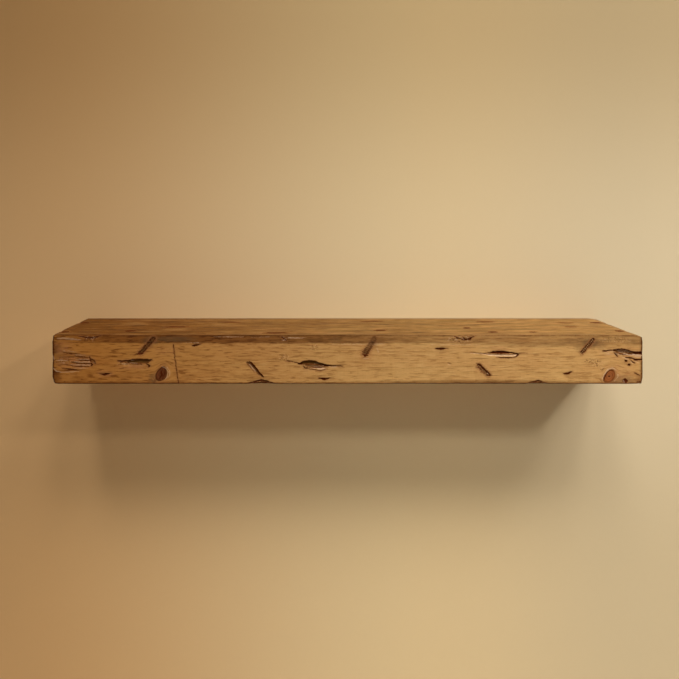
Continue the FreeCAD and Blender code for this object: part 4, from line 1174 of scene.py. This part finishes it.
def add_rods(finish, colours, wood, noises):
    """Rod prints: a soft reddish edge, a floor, a dark rail inside the outline, weaker on the far side, and
    a row of pale beads down the middle. The thread breaks up the rail, and noise makes the outline and the
    ink uneven."""
    rod = finish.add("SeparateXYZ", {0: finish.field("rod", "Vector")})
    along, across, within = (rod.node.outputs[axis] for axis in "XYZ")
    ink = finish.times(finish.field("rod_ink"), finish.step(noises.crumb, 0.30, 0.55, 0.66, 1.0))
    thread = finish.add("Math", {0: finish.times(along, 2 * math.pi)}, operation="COSINE")
    inset = finish.sum(finish.sum(within, finish.times(noises.fray, 0.46)), finish.times(thread, 0.10))
    halo = finish.times(finish.step(inset, -1.1, 0.1, 0.0, 0.75), ink)
    wood = finish.blend(halo, wood, colours.halo)
    side = finish.sum(finish.field("rod_far"), finish.times(finish.minus(1.0, finish.field("rod_far")),
                                                            finish.step(across, -0.35, 0.25)))
    floor = finish.blend(finish.field("rod_pale"), colours.rod_floor, colours.rod_bare)
    wood = finish.blend(finish.times(finish.step(inset, 0.0, 0.40), ink), wood, floor)
    rails = finish.times(finish.step(inset, -0.15, 0.30), finish.step(inset, 0.92, 0.50))
    rails = finish.times(rails, finish.times(ink, side))
    rails = finish.times(rails, finish.step(thread, 1.0, -0.2, 0.55, 1.0))
    wood = finish.blend(rails, wood, colours.gouge)
    beads = finish.times(finish.step(thread, 0.35, 0.95), finish.step(inset, 0.66, 0.92))
    return finish.blend(finish.times(beads, finish.field("bead")), wood, colours.bead)


def add_creases(finish, colours, wood, noises, fresh):
    """Fine dark and pale lines, which break up with the fray."""
    crease = finish.sum(finish.field("crease"), finish.times(noises.fray, 0.45))
    crease = finish.times(finish.step(crease, -0.7, 0.5), finish.field("crease_ink"))
    colour_there = finish.blend(finish.field("crease_tone"), colours.gouge, fresh)
    return finish.blend(crease, wood, colour_there)


def add_speckles(finish, colours, wood, place):
    """Small dark and pale specks, one to a cell in some cells. Gives the share of them too."""
    cells = finish.stretched(place, (230.0, 330.0, 330.0))
    dots = finish.add("TexVoronoi", {"Vector": cells, "Scale": 1.0}, "Distance")
    pick = finish.noise(place, (150.0, 180.0, 180.0), detail=0.0, shift=(1.0, 6.0, 2.0))
    speckle = finish.times(finish.field("speckle"), finish.step(dots, 0.55, 0.34))
    dark = finish.times(speckle, finish.step(pick, 0.56, 0.50, 0.0, 0.60))
    wood = finish.blend(dark, wood, colours.edge_line)
    pale = finish.times(speckle, finish.step(pick, 0.57, 0.62, 0.0, 0.34))
    return finish.blend(pale, wood, colours.cut), speckle


def bare_pine(name, colours, turn, shift):
    """Planed pine with no stain. The turn, in degrees, brings the grain onto the first axis, and the shift
    moves the pith out of the piece."""
    finish = Finish(name)
    place = finish.add("Mapping", {"Vector": finish.object_place(), "Location": shift,
                                   "Rotation": tuple(math.radians(a) for a in turn)})
    late, streaks, fibres, dashes = pine_figure(finish, place, FRAME_RING)
    wood = finish.blend(finish.step(streaks, 0.3, 0.7), colours.bare_light, colours.bare_mid)
    wood = finish.blend(finish.times(late, 0.5), wood, colours.bare_late)
    wood = finish.blend(finish.step(fibres, 0.4, 0.8, 0.0, 0.3), wood, colours.bare_late)
    wood = finish.blend(finish.step(dashes, 0.66, 0.74, 0.0, 0.5), wood, colours.bare_late)
    roughness = finish.step(streaks, 0.3, 0.7, 0.62, 0.75)
    finish.surface(Base_Color=wood, Roughness=roughness, Specular_IOR_Level=0.25)
    finish.bump(finish.sum(finish.times(fibres, 0.6), finish.times(late, 0.3)), 0.0004, 0.7)
    return finish.material


def dowel_wood(name, colours):
    """Turned birch dowels: even and pale, with soft clouds and fine dark flecks."""
    finish = Finish(name)
    place = finish.object_place()
    fleck = finish.noise(place, (700.0, 700.0, 700.0), detail=3.0, roughness=0.7)
    cloud = finish.noise(place, (60.0, 60.0, 60.0), detail=2.0)
    wood = finish.blend(finish.step(cloud, 0.35, 0.65), colours.dowel, colours.bare_light)
    wood = finish.darken(wood, finish.step(fleck, 0.55, 0.75, 0.0, 0.5), colours.bare_late)
    roughness = finish.step(fleck, 0.3, 0.7, 0.5, 0.65)
    finish.surface(Base_Color=wood, Roughness=roughness, Specular_IOR_Level=0.3)
    finish.bump(fleck, 0.0003, 0.5)
    return finish.material


def extruded_aluminium(name, colours):
    """Mill-finish aluminium: fine die lines along the bar, a faint cloudiness and a few rubs."""
    finish = Finish(name)
    place = finish.object_place()
    lines = finish.noise(place, (2.0, 1800.0, 1800.0), detail=3.0, roughness=0.7)
    cloud = finish.noise(place, (9.0, 60.0, 60.0), detail=4.0, roughness=0.6)
    rub = finish.noise(place, (45.0, 300.0, 300.0), detail=2.0, shift=(5.0, 1.0, 8.0))
    dull = colours.aluminium_dull
    metal = finish.blend(finish.step(cloud, 0.35, 0.65), colours.aluminium, dull)
    metal = finish.darken(metal, finish.step(lines, 0.5, 0.8, 0.0, 0.35), dull)
    roughness = finish.sum(finish.step(lines, 0.3, 0.7, 0.30, 0.42), finish.step(rub, 0.62, 0.72, 0.0, 0.14))
    finish.surface(Base_Color=metal, Metallic=1.0, Roughness=roughness)
    finish.bump(lines, 0.00012, 0.6)
    return finish.material


def zinc_plate(name, colours):
    """Bright zinc plating on steel: bluish and yellowish clouds over a finely scratched ground."""
    finish = Finish(name)
    place = finish.object_place()
    cloud = finish.noise(place, (160.0, 160.0, 160.0), detail=3.0)
    scratch = finish.noise(place, (2500.0, 600.0, 2500.0), detail=2.0)
    metal = finish.blend(finish.step(cloud, 0.4, 0.6), colours.zinc_cool, colours.zinc_warm)
    roughness = finish.step(scratch, 0.3, 0.7, 0.26, 0.40)
    roughness = finish.sum(roughness, finish.step(cloud, 0.4, 0.6, 0.0, 0.08))
    finish.surface(Base_Color=metal, Metallic=1.0, Roughness=roughness)
    finish.bump(scratch, 0.00005, 0.6)
    return finish.material


def moulded_rubber(name, colours):
    """Matte black rubber with a dusty bloom and a fine pebbled skin."""
    finish = Finish(name)
    place = finish.object_place()
    skin = finish.noise(place, (1500.0, 1500.0, 1500.0), detail=2.0)
    dust = finish.noise(place, (180.0, 180.0, 180.0), detail=4.0, roughness=0.7)
    share = finish.step(dust, 0.45, 0.75, 0.0, 0.6)
    rubber = finish.blend(share, colours.rubber, colours.rubber_dust)
    roughness = finish.step(dust, 0.3, 0.7, 0.72, 0.88)
    finish.surface(Base_Color=rubber, Roughness=roughness, Specular_IOR_Level=0.3)
    finish.bump(skin, 0.0001, 0.7)
    return finish.material


def give(material, *names):
    """Sets the material in every slot of the CAD nodes."""
    for name in names:
        mesh = NODES[name].data
        if not mesh.materials:
            mesh.materials.append(material)
        for slot in NODES[name].material_slots:
            slot.material = material


def stands_for(board, material, *names):
    """The board takes the material, rides on the shelf and stands for those CAD nodes."""
    board.data.materials.append(material)
    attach(board, "shelf")
    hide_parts(*names)


def worn_pine(context):
    """The stained finish that all carved boards share, made the first time that it is asked for."""
    name = "stained_pine_worn"
    return bpy.data.materials.get(name) or stained_pine(name, context.scene.shelf_colours, True)


# ---- Settings ----

def length(name, description, metres):
    """A length in metres."""
    return FloatProperty(name=name, description=description, default=metres, min=0.0, unit="LENGTH",
                         precision=5)


def position(name, description, x, y, z):
    """A place in metres."""
    return FloatVectorProperty(name=name, description=description, default=(x, y, z), size=3, unit="LENGTH")


def angle(name, description, degrees):
    """An angle, its default given in degrees."""
    return FloatProperty(name=name, description=description, default=math.radians(degrees), unit="ROTATION")


def power(name, description, watts):
    """A lamp's power in watts."""
    return FloatProperty(name=name, description=description, default=watts, unit="POWER")


def colour(name, description, red, green, blue):
    """A colour, its default given as sRGB numbers."""
    return FloatVectorProperty(name=name, description=description, default=srgb(red, green, blue), size=3,
                               min=0.0, max=1.0, subtype="COLOR")


class ShelfBoardSettings(bpy.types.PropertyGroup):
    """Sizes of the carved boards."""

    close_gap: length("Close lines", "Gap between mesh lines along the shelf where there are marks", 0.00152)
    wide_gap: length("Wide lines", "Gap between mesh lines along the shelf elsewhere", 0.0026)
    height_gap: length("Height lines", "Gap between mesh lines up the front", 0.00136)
    depth_gap: length("Depth lines", "Gap between mesh lines across the top", 0.0040)
    end_gap: length("End lines", "Gap between mesh lines on the end boards", 0.0030)
    edge_radius: length("Edge radius", "How far the outer edges are eased", 0.0024)
    joint_radius: length("Joint radius", "How far the edges at a joint are eased", 0.0003)
    wear_reach: length("Wear reach", "How far the dark wear reaches from an outer edge", 0.0070)


class ShelfColourSettings(bpy.types.PropertyGroup):
    """Colours of the finishes."""

    stain_pale: colour("Pale stain", "Thin light lines between dashes", 208, 166, 106)
    stain_light: colour("Light stain", "Early wood where the stain is thin", 202, 156, 94)
    stain_mid: colour("Middle stain", "Early wood where the stain is full", 194, 145, 86)
    stain_deep: colour("Deep stain", "Dark streaks and fibres", 156, 110, 58)
    late_wood: colour("Late wood", "Hard lines of the growth rings, and short dashes", 120, 73, 28)
    # Towards the left end its share is also painted shade.
    red_shade: colour("Red shade", "Multiplies the wood where the stain took deepest", 226, 194, 152)
    end_shade: colour("End shade", "Multiplies the wood on end grain", 186, 170, 158)
    # Partly darker stain, partly painted shade on the upward face of the top board.
    top_shade: colour("Top shade", "Multiplies the darker stained face of the top board", 158, 150, 127)
    strip_shade: colour("Strip shade", "Multiplies the front edge of the top board", 166, 142, 120)
    edge_shade: colour("Edge shade", "Multiplies worn and mottled wood", 150, 128, 116)
    edge_line: colour("Edge line", "Stain gathered along an outer edge or a rim", 70, 30, 4)
    # It also colours the painted shadow along the back of the top.
    smear: colour("Smear", "Grey-brown stain rubbed over the wood", 104, 74, 44)
    bloom: colour("Bloom", "Reddish wood beside gouges and knots", 178, 116, 76)
    halo: colour("Halo", "Reddish brown around a dark mark", 146, 92, 52)
    gouge: colour("Gouge", "Floor of a gouge", 74, 25, 1)
    bark: colour("Bark", "Olive bark in a gouge", 106, 71, 28)
    # It also colours the painted highlights on two ridges at the left end.
    cut: colour("Cut", "Pale wood where a blade went through the stain", 222, 186, 146)
    rod_floor: colour("Rod floor", "Floor of a dark rod print", 78, 44, 14)
    rod_bare: colour("Bare rod floor", "Floor of a pale rod print", 124, 90, 50)
    bead: colour("Bead", "Ridges left by a rod's thread", 196, 156, 104)
    knot_live: colour("Live knot", "Orange-brown knot", 150, 86, 42)
    knot_dead: colour("Dead knot", "Dark red-brown knot", 100, 52, 26)
    bare_light: colour("Light pine", "Bare early wood", 222, 192, 148)
    bare_mid: colour("Middle pine", "Bare early wood in streaks", 208, 172, 122)
    bare_late: colour("Late pine", "Bare late wood", 170, 122, 72)
    dowel: colour("Dowel", "Turned birch", 214, 190, 152)
    aluminium: colour("Aluminium", "Extruded bars", 222, 223, 226)
    aluminium_dull: colour("Dull aluminium", "Clouds and die lines on the bars", 184, 186, 190)
    zinc_cool: colour("Cool zinc", "Bluish clouds of the plating", 205, 212, 222)
    zinc_warm: colour("Warm zinc", "Yellowish clouds of the plating", 222, 212, 184)
    rubber: colour("Rubber", "Bumpers", 34, 34, 35)
    rubber_dust: colour("Rubber dust", "Dusty bloom on the bumpers", 74, 72, 70)


class ShelfStageSettings(bpy.types.PropertyGroup):
    """Camera, lamps, wall and floor."""

    camera_place: position("Camera", "Place of the camera", -0.0976, -1.651, 0.376)
    lens: FloatProperty(name="Lens", description="Focal length in millimetres", default=29.21, min=1.0)
    shift_x: FloatProperty(name="Shift across", description="Sideways shift of the view", default=0.0439)
    shift_y: FloatProperty(name="Shift up", description="Upward shift of the view", default=-0.18305)
    key_place: position("Key lamps", "Place of the middle one of three key lamps", 2.69, -4.83, 9.73)
    lit_place: position("Lit place", "Place that the key and fill lamps look at", 1.10, 0.0, -0.25)
    key_spread: angle("Key spread", "Angle that each key lamp's light fills", 33.4)
    fill_spread: angle("Fill spread", "Angle that the fill lamp's light fills", 120)
    key_pitch: length("Key pitch", "Distance between the key lamps, in a row along the shelf", 3.68)
    key_width: length("Key width", "Width of each round key lamp", 3.4)
    key_power: power("Key power", "Power of each key lamp", 24.4)
    fill_place: position("Fill lamp", "Place of the fill lamp", 2.32, -2.23, 1.88)
    fill_width: length("Fill width", "Width of the square fill lamp", 0.29)
    fill_power: power("Fill power", "Power of the fill lamp", 15.0)
    back_place: position("Back lamp", "Place of the lamp behind the wall, which lights the shelf's back",
                      -3.2, 3.0, -0.64)
    back_width: length("Back width", "Width of the square back lamp", 1.2)
    back_spread: angle("Back spread", "Angle that the back lamp's light fills", 50)
    back_power: power("Back power", "Power of the back lamp", 9.5)
    sky_strength: FloatProperty(name="Sky", description="Strength of the even light", default=0.165)
    # The three wall colours are painted light and shade: darker and warmer at the left, lightest behind the
    # middle.
    wall: colour("Wall", "Painted wall behind the shelf, on the right", 208, 187, 150)
    wall_middle: colour("Middle of the wall", "The same paint behind the middle of the shelf", 227, 200, 154)
    wall_left: colour("Left of the wall", "The same paint further left", 221, 175, 120)
    floor: colour("Floor", "Floor below the shelf", 206, 201, 190)
    sky: colour("Backdrop", "What the camera sees past the floor", 236, 232, 224)
    floor_height: FloatProperty(name="Floor height", description="Height of the floor", default=-1.3,
                                unit="LENGTH")
    room_size: length("Room size", "Width of the floor and the wall", 12.0)
    room_height: length("Room height", "Height of the wall", 6.0)


# ---- Pieces ----

def long_lines(settings):
    """Lines along the shelf, closer at the marks and the ends."""
    lines = close_lines(LEFT, RIGHT, marked_spans(), settings.close_gap * MM, settings.wide_gap * MM)
    return with_ends(lines, LEFT, RIGHT, EDGE_OFFSETS, EDGE_OFFSETS)


def even_lines(low, high, gap, low_offsets, high_offsets):
    """Lines about the gap apart, closer at each end by the offsets."""
    lines = np.linspace(low, high, max(2, round((high - low) / gap) + 1))
    return with_ends(lines, low, high, low_offsets, high_offsets)


# Gap between mesh lines through the thickness of the front board and of an end board, in millimetres.
FRONT_THICKNESS_GAP, END_THICKNESS_GAP = 4.5, 5.0
# The place that the growth rings of the front and of the top board are round.
FRONT_PITH, TOP_PITH = (0, -158, -22), (900, -70, -8)


class SHELF_OT_front_board(bpy.types.Operator):
    """Carve the long front board"""

    bl_idname = "wall_shelf.front_board"
    bl_label = "Front Board"

    def execute(self, context):
        settings = context.scene.shelf_boards
        low, high = cad_box("front_board")
        lines = (long_lines(settings),
                 even_lines(low[1], high[1], FRONT_THICKNESS_GAP, EDGE_OFFSETS, JOINT_OFFSETS),
                 even_lines(low[2], high[2], settings.height_gap * MM, EDGE_OFFSETS, JOINT_OFFSETS))

        def depths(flat, found):
            waves = side_waves(FRONT_WAVES, flat)
            waves[FRONT_SIDE] += found["depth"]
            for side in (LEFT_SIDE, RIGHT_SIDE):
                waves[side] += 0.6 * found["depth"]
            return waves

        board = make_board("front_board_worn", lines, settings, spanned={BACK_SIDE, UPPER_SIDE},
                           hidden={BACK_SIDE, UPPER_SIDE}, joints=((2, high[2]), (1, high[1])), rows=3,
                           fields=wrapped_front_fields, depths=depths, pith=FRONT_PITH, grain=GRAIN_ALONG_X)
        stands_for(board, worn_pine(context), "front_board")
        return {"FINISHED"}


class SHELF_OT_top_board(bpy.types.Operator):
    """Carve the top board, whose front edge is the strip along the front"""

    bl_idname = "wall_shelf.top_board"
    bl_label = "Top Board"

    def execute(self, context):
        settings = context.scene.shelf_boards
        low, high = cad_box("top_board")
        lines = (long_lines(settings),
                 even_lines(low[1], high[1], settings.depth_gap * MM, EDGE_OFFSETS, JOINT_OFFSETS),
                 even_lines(low[2], high[2], settings.height_gap * MM, JOINT_OFFSETS, EDGE_OFFSETS))

        def fields(flat):
            x, y, z = flat.T
            near_top = fade((z - (TOP - 8)) / 6)
            behind_front = fade((y - FRONT - 1) / 5)
            field = wrapped_front_fields(flat)
            dents = faded(top_fields(x, y), near_top)
            lay(field, "hollow", dents["hollow"], ink=dents["ink"], bark=dents["bark"])
            field["dent"] = dents["depth"]
            # Painted shadow along the back of the top, beside the wall, laid in with the smears.
            field["smear"] += BACK_PAINTED_SHADOW_INK * fade((y - BACK + BACK_PAINTED_SHADOW_WIDTH) / 6) * near_top
            field["tone"] += (table_at(x, TOP_STAIN_AND_SHADE_TONE) - field["tone"]) * behind_front
            field["stain"] *= 1 - behind_front * fade((x - 300) / 300)
            return field

        def depths(flat, found):
            waves = side_waves(TOP_WAVES, flat)
            waves[FRONT_SIDE] = found["depth"] + 1.6 * waves[FRONT_SIDE]
            waves[UPPER_SIDE] += found["dent"]
            return waves

        def drop(points):
            x, y, z = points.T
            share = fade((x - RIGHT + END_DROP_LENGTH) / END_DROP_LENGTH) * (z - JOINT) / (TOP - JOINT)
            return share * table_at(y, END_DROP)

        board = make_board("top_board_worn", lines, settings, spanned={BACK_SIDE, UNDER_SIDE},
                           hidden={UNDER_SIDE}, joints=((2, low[2]), (1, high[1])), rows=2, fields=fields,
                           depths=depths, pith=TOP_PITH, grain=GRAIN_ALONG_X, drop=drop)
        stands_for(board, worn_pine(context), "top_board")
        return {"FINISHED"}


class SHELF_OT_end_boards(bpy.types.Operator):
    """Carve the two end boards, whose grain runs from front to back"""

    bl_idname = "wall_shelf.end_boards"
    bl_label = "End Boards"

    def execute(self, context):
        for side, name in ((0, "left_end_board"), (1, "right_end_board")):
            board = self.carve(context.scene.shelf_boards, side, name)
            stands_for(board, worn_pine(context), name)
        return {"FINISHED"}

    def carve(self, settings, side, name):
        """One end board: side 0 is the left one and side 1 the right one."""
        low, high = cad_box(name)
        gap = settings.end_gap * MM
        across = (JOINT_OFFSETS, EDGE_OFFSETS) if side else (EDGE_OFFSETS, JOINT_OFFSETS)
        lines = (even_lines(low[0], high[0], END_THICKNESS_GAP, *across),
                 even_lines(low[1], high[1], gap, JOINT_OFFSETS, JOINT_OFFSETS),
                 even_lines(low[2], high[2], gap, EDGE_OFFSETS, JOINT_OFFSETS))
        outer, inner = (RIGHT, low[0]) if side else (LEFT, high[0])
        outer_side, inner_side = (RIGHT_SIDE, LEFT_SIDE) if side else (LEFT_SIDE, RIGHT_SIDE)

        def fields(flat):
            return end_fields(flat[:, 1], flat[:, 2], side)

        def depths(flat, found):
            waves = side_waves(RIGHT_END_WAVES if side else LEFT_END_WAVES, flat)
            waves[outer_side] += found["depth"]
            return waves

        return make_board(name + "_worn", lines, settings, spanned=set(),
                          hidden={inner_side, FRONT_SIDE, BACK_SIDE, UPPER_SIDE},
                          joints=((2, high[2]), (1, low[1]), (1, high[1]), (0, inner)), rows=1,
                          fields=fields, depths=depths, pith=(outer * 0.9, 1800 + 900 * side, 20),
                          grain=GRAIN_ALONG_Y)


class SHELF_OT_bottom_board(bpy.types.Operator):
    """Stain the bottom board, which keeps its own countersunk holes"""

    bl_idname = "wall_shelf.bottom_board"
    bl_label = "Bottom Board"

    def execute(self, context):
        give(stained_pine("stained_pine_plain", context.scene.shelf_colours, False), "bottom_board")
        return {"FINISHED"}


# How the bare wood lies in its log: a name, a turn in degrees and a shift in metres, and the nodes of it.
BARE_PINES = (
    ("bare_pine_long", (0, 0, 0), (0.2, 0.06, 0.05), ("front_cleat", "front_glue_blocks", "lower_back_rail")),
    ("bare_pine_rail", (0, 0, 0), (1.9, -0.03, 0.06), ("upper_back_rail", "rail_glue_blocks")),
    ("bare_pine_cross", (0, 0, 90), (0.4, 0.05, 0.04),
     ("rib_1", "rib_2", "rib_3", "rib_4", "left_end_cleat", "right_end_cleat")),
    ("bare_pine_upright", (0, 90, 0), (0.1, 0.3, 0.03), ("left_corner_block", "right_corner_block")),
)


class SHELF_OT_inner_frame(bpy.types.Operator):
    """Finish the bare rails, ribs, cleats, blocks and dowels"""

    bl_idname = "wall_shelf.inner_frame"
    bl_label = "Inner Frame"

    def execute(self, context):
        colours = context.scene.shelf_colours
        for name, turn, shift, nodes in BARE_PINES:
            give(bare_pine(name, colours, turn, shift), *nodes)
        give(dowel_wood("birch_dowel", colours), "front_dowels", "end_dowels", "corner_dowels")
        return {"FINISHED"}


class SHELF_OT_hardware(bpy.types.Operator):
    """Finish the hanging bars, the screws and the rubber bumpers"""

    bl_idname = "wall_shelf.hardware"
    bl_label = "Hardware"

    def execute(self, context):
        colours = context.scene.shelf_colours
        give(extruded_aluminium("extruded_aluminium", colours), "wall_hanger_bar", "shelf_hanger_bar")
        give(zinc_plate("zinc_plate", colours), "bottom_screws", "bottom_end_screws", "cleat_screws",
             "rib_screws", "hanger_bar_screws")
        give(moulded_rubber("moulded_rubber", colours), "wall_bumpers")
        return {"FINISHED"}


# Grooves and knots on the left and right end boards, whose lines are (y, z, half-width).
END_GROOVES = (
    (Groove(((-150, 12, 0.8), (-136, 14, 2.4), (-118, 13, 1.0)), 1.6, 0.8),
     Groove(((-60, -34, 0.8), (-48, -33, 2.6), (-34, -31, 0.6)), 1.8, 0.9)),
    (Groove(((-210, 16, 1.6), (-190, 14, 2.6), (-168, 13, 1.6), (-150, 14, 0.6)), 2.4, 0.9, 0.3),
     Groove(((-92, -20, 0.8), (-80, -19, 2.6), (-64, -18, 0.6)), 1.8, 0.85)),
)
END_KNOTS = (Knot(-78, 22, 9.0, 8.0, 0.2, 0.3), Knot(-118, 34, 7.0, 6.5, -0.2, 0.8))


def end_fields(y, z, side):
    """The marks on an end board at the places (y, z), stained as the shelf's nearer end is."""
    rough_y, rough_z = ragged(y, z, END_OUTLINE_SEED + side)
    field = empty_fields(y.shape)
    lay_grooves(field, rough_y, rough_z, END_GROOVES[side])
    lay_knots(field, y, z, [END_KNOTS[side]])
    field["stain"] += STAIN_AND_SHADE_DEPTH[-1 if side else 0][1]
    return field


# ---- Stage ----

# Where the wall's paint turns from left to middle and from middle to right, from x to x in metres.
# The three colours are painted light and shade: darker and warmer at the left, lightest behind the middle.
LEFT_TURN, RIGHT_TURN = (-1.0, 0.2), (0.2, 0.9)
# Where painted shade darkens it upwards and downwards, from z to z, and the shades that multiply it there.
HIGH_TURN, LOW_TURN = (0.2, 1.0), (-0.1, -0.7)
HIGH_PAINTED_SHADE, LOW_PAINTED_SHADE = (0.73, 0.67, 0.57), (0.92, 0.90, 0.86)
GRAIN_SHADE = (0.8, 0.8, 0.8)
# The wall stands this far behind the shelf's back, and laps over its outline by this much, in metres.
WALL_GAP, WALL_LAP = 0.0003, 0.002
# How far below the top the wall's opening ends, in millimetres, since the top is worn down at its end.
OPENING_DROP = 7


def one_sided(name, shaded_left_paint, lit_middle_paint, right_paint):
    """A matte paint that can't be seen from behind, so that it never hides the shelf. It turns slowly through
    three colours along the shelf, painted light and shade that is darker and warmer at the left, and painted
    shade makes it darker high up and a little darker low down."""
    finish = Finish(name)
    along = finish.add("SeparateXYZ", {0: finish.object_place()})
    height = along.node.outputs["Z"]
    paint = finish.blend(finish.step(along, *LEFT_TURN), shaded_left_paint, lit_middle_paint)
    paint = finish.blend(finish.step(along, *RIGHT_TURN), paint, right_paint)
    paint = finish.darken(paint, finish.step(height, *HIGH_TURN), HIGH_PAINTED_SHADE)
    paint = finish.darken(paint, finish.step(height, *LOW_TURN), LOW_PAINTED_SHADE)
    grain = finish.noise(finish.object_place(), (90.0, 90.0, 90.0), detail=3.0)
    paint = finish.darken(paint, finish.step(grain, 0.3, 0.7, 0.0, 0.03), GRAIN_SHADE)
    finish.surface(Base_Color=paint, Roughness=0.95, Specular_IOR_Level=0.1)
    behind = finish.add("NewGeometry", {}, "Backfacing")
    clear = finish.add("BsdfTransparent", {})
    mixed = finish.add("MixShader", {0: behind, 1: finish.shader.outputs[0], 2: clear})
    finish.feed(finish.tree.nodes["Material Output"].inputs["Surface"], mixed)
    return finish.material


def flat_piece(name, corners, faces, material):
    """A stage piece from its corners and faces."""
    mesh = bpy.data.meshes.new(name)
    mesh.from_pydata(corners, [], faces)
    mesh.materials.append(material)
    piece = bpy.data.objects.new(name, mesh)
    bpy.context.scene.collection.objects.link(piece)
    return piece


def aim(thing, target):
    """Turns a lamp or camera so that it looks at the target."""
    thing.rotation_euler = (Vector(target) - thing.location).to_track_quat("-Z", "Y").to_euler()


def lamp(name, spot, width, watts, shape, spread, target):
    """A soft white area lamp that looks at the target. Its light fades out towards the spread's angle."""
    light = bpy.data.lights.new(name, "AREA")
    light.shape, light.size, light.energy, light.spread = shape, width, watts, spread
    thing = bpy.data.objects.new(name, light)
    thing.location = spot
    aim(thing, target)
    bpy.context.scene.collection.objects.link(thing)


class SHELF_OT_stage(bpy.types.Operator):
    """Make the wall, the floor, the lamps, the even light and the camera"""

    bl_idname = "wall_shelf.stage"
    bl_label = "Stage"

    def execute(self, context):
        stage = context.scene.shelf_stage
        self.make_room(stage)
        self.make_lamps(stage)
        self.make_sky(context.scene, stage)
        self.make_camera(context.scene, stage)
        context.scene.view_settings.view_transform = "Standard"
        return {"FINISHED"}

    def make_room(self, stage):
        """The wall touches the shelf's back and is open behind it, inside the shelf's outline, and it casts
        no shadow, so that light from behind reaches the back of the shelf. The floor lies below."""
        half, floor = stage.room_size / 2, stage.floor_height
        ceiling = floor + stage.room_height
        y = BACK / MM + WALL_GAP
        left, right = LEFT / MM + WALL_LAP, RIGHT / MM - WALL_LAP
        low, high = BOTTOM / MM + WALL_LAP, (TOP - OPENING_DROP) / MM
        outer = [(-half, y, floor), (half, y, floor), (half, y, ceiling), (-half, y, ceiling)]
        inner = [(left, y, low), (right, y, low), (right, y, high), (left, y, high)]
        round_opening = [(i, (i + 1) % 4, 4 + (i + 1) % 4, 4 + i) for i in range(4)]
        paint = one_sided("wall_paint", stage.wall_left, stage.wall_middle, stage.wall)
        wall = flat_piece("wall", outer + inner, round_opening, paint)
        wall.visible_shadow = False
        corners = [(-half, -half, floor), (half, -half, floor), (half, half, floor), (-half, half, floor)]
        flat_piece("floor", corners, [(0, 1, 2, 3)], one_sided("floor_paint", *[stage.floor] * 3))

    def make_lamps(self, stage):
        """Three key lamps high in front, a fill lamp on the right and one lamp behind the wall."""
        for step, name in ((-1, "key_left"), (0, "key_middle"), (1, "key_right")):
            spot = Vector(stage.key_place) + Vector((step * stage.key_pitch, 0, 0))
            lamp(name, spot, stage.key_width, stage.key_power, "DISK", stage.key_spread, stage.lit_place)
        lamp("fill", stage.fill_place, stage.fill_width, stage.fill_power, "SQUARE", stage.fill_spread,
             stage.lit_place)
        shelf_place = (0, 0, 0)
        lamp("back", stage.back_place, stage.back_width, stage.back_power, "SQUARE", stage.back_spread,
             shelf_place)

    def make_sky(self, scene, stage):
        """Even light from all round, and a pale backdrop for what the camera and reflections see."""
        world = bpy.data.worlds.new("studio")
        world.use_nodes = True
        tree = world.node_tree
        light = tree.nodes["Background"]
        light.inputs["Color"].default_value = (1.0, 1.0, 1.0, 1.0)
        light.inputs["Strength"].default_value = stage.sky_strength
        seen = tree.nodes.new("ShaderNodeBackground")
        seen.inputs["Color"].default_value = (*stage.sky, 1.0)
        path = tree.nodes.new("ShaderNodeLightPath")
        share = path.outputs["Is Camera Ray"]
        for ray in ("Is Transmission Ray", "Is Glossy Ray"):
            either = tree.nodes.new("ShaderNodeMath")
            either.operation = "MAXIMUM"
            tree.links.new(share, either.inputs[0])
            tree.links.new(path.outputs[ray], either.inputs[1])
            share = either.outputs[0]
        mixed = tree.nodes.new("ShaderNodeMixShader")
        tree.links.new(share, mixed.inputs[0])
        tree.links.new(light.outputs[0], mixed.inputs[1])
        tree.links.new(seen.outputs[0], mixed.inputs[2])
        tree.links.new(mixed.outputs[0], tree.nodes["World Output"].inputs["Surface"])
        scene.world = world

    def make_camera(self, scene, stage):
        """A level camera that looks straight at the wall; the shift frames the shelf and keeps its uprights
        parallel."""
        lens = bpy.data.cameras.new("camera")
        lens.lens, lens.sensor_width = stage.lens, 36.0
        lens.shift_x, lens.shift_y = stage.shift_x, stage.shift_y
        camera = bpy.data.objects.new("camera", lens)
        camera.location = stage.camera_place
        camera.rotation_euler = (math.radians(90), 0.0, 0.0)
        scene.collection.objects.link(camera)
        scene.camera = camera


OPERATORS = (SHELF_OT_front_board, SHELF_OT_top_board, SHELF_OT_end_boards, SHELF_OT_bottom_board,
             SHELF_OT_inner_frame, SHELF_OT_hardware, SHELF_OT_stage)


class SHELF_PT_panel(bpy.types.Panel):
    """Sidebar panel with a button for each piece"""

    bl_idname = "SHELF_PT_panel"
    bl_label = "Wall Shelf"
    bl_space_type = "VIEW_3D"
    bl_region_type = "UI"
    bl_category = "Wall Shelf"

    def draw(self, context):
        for operator in OPERATORS:
            self.layout.operator(operator.bl_idname)


SETTINGS = {"shelf_boards": ShelfBoardSettings, "shelf_colours": ShelfColourSettings,
            "shelf_stage": ShelfStageSettings}
CLASSES = (*SETTINGS.values(), *OPERATORS, SHELF_PT_panel)


def register():
    """Registers the classes and puts the settings on the scene."""
    for cls in CLASSES:
        bpy.utils.register_class(cls)
    for name, cls in SETTINGS.items():
        setattr(bpy.types.Scene, name, PointerProperty(type=cls))


def unregister():
    """Takes the settings and the classes away again."""
    for name in SETTINGS:
        delattr(bpy.types.Scene, name)
    for cls in reversed(CLASSES):
        bpy.utils.unregister_class(cls)


def main():
    """Makes every piece in order."""
    register()
    for operator in OPERATORS:
        group, name = operator.bl_idname.split(".")
        getattr(getattr(bpy.ops, group), name)()


if __name__ == "__main__":
    main()
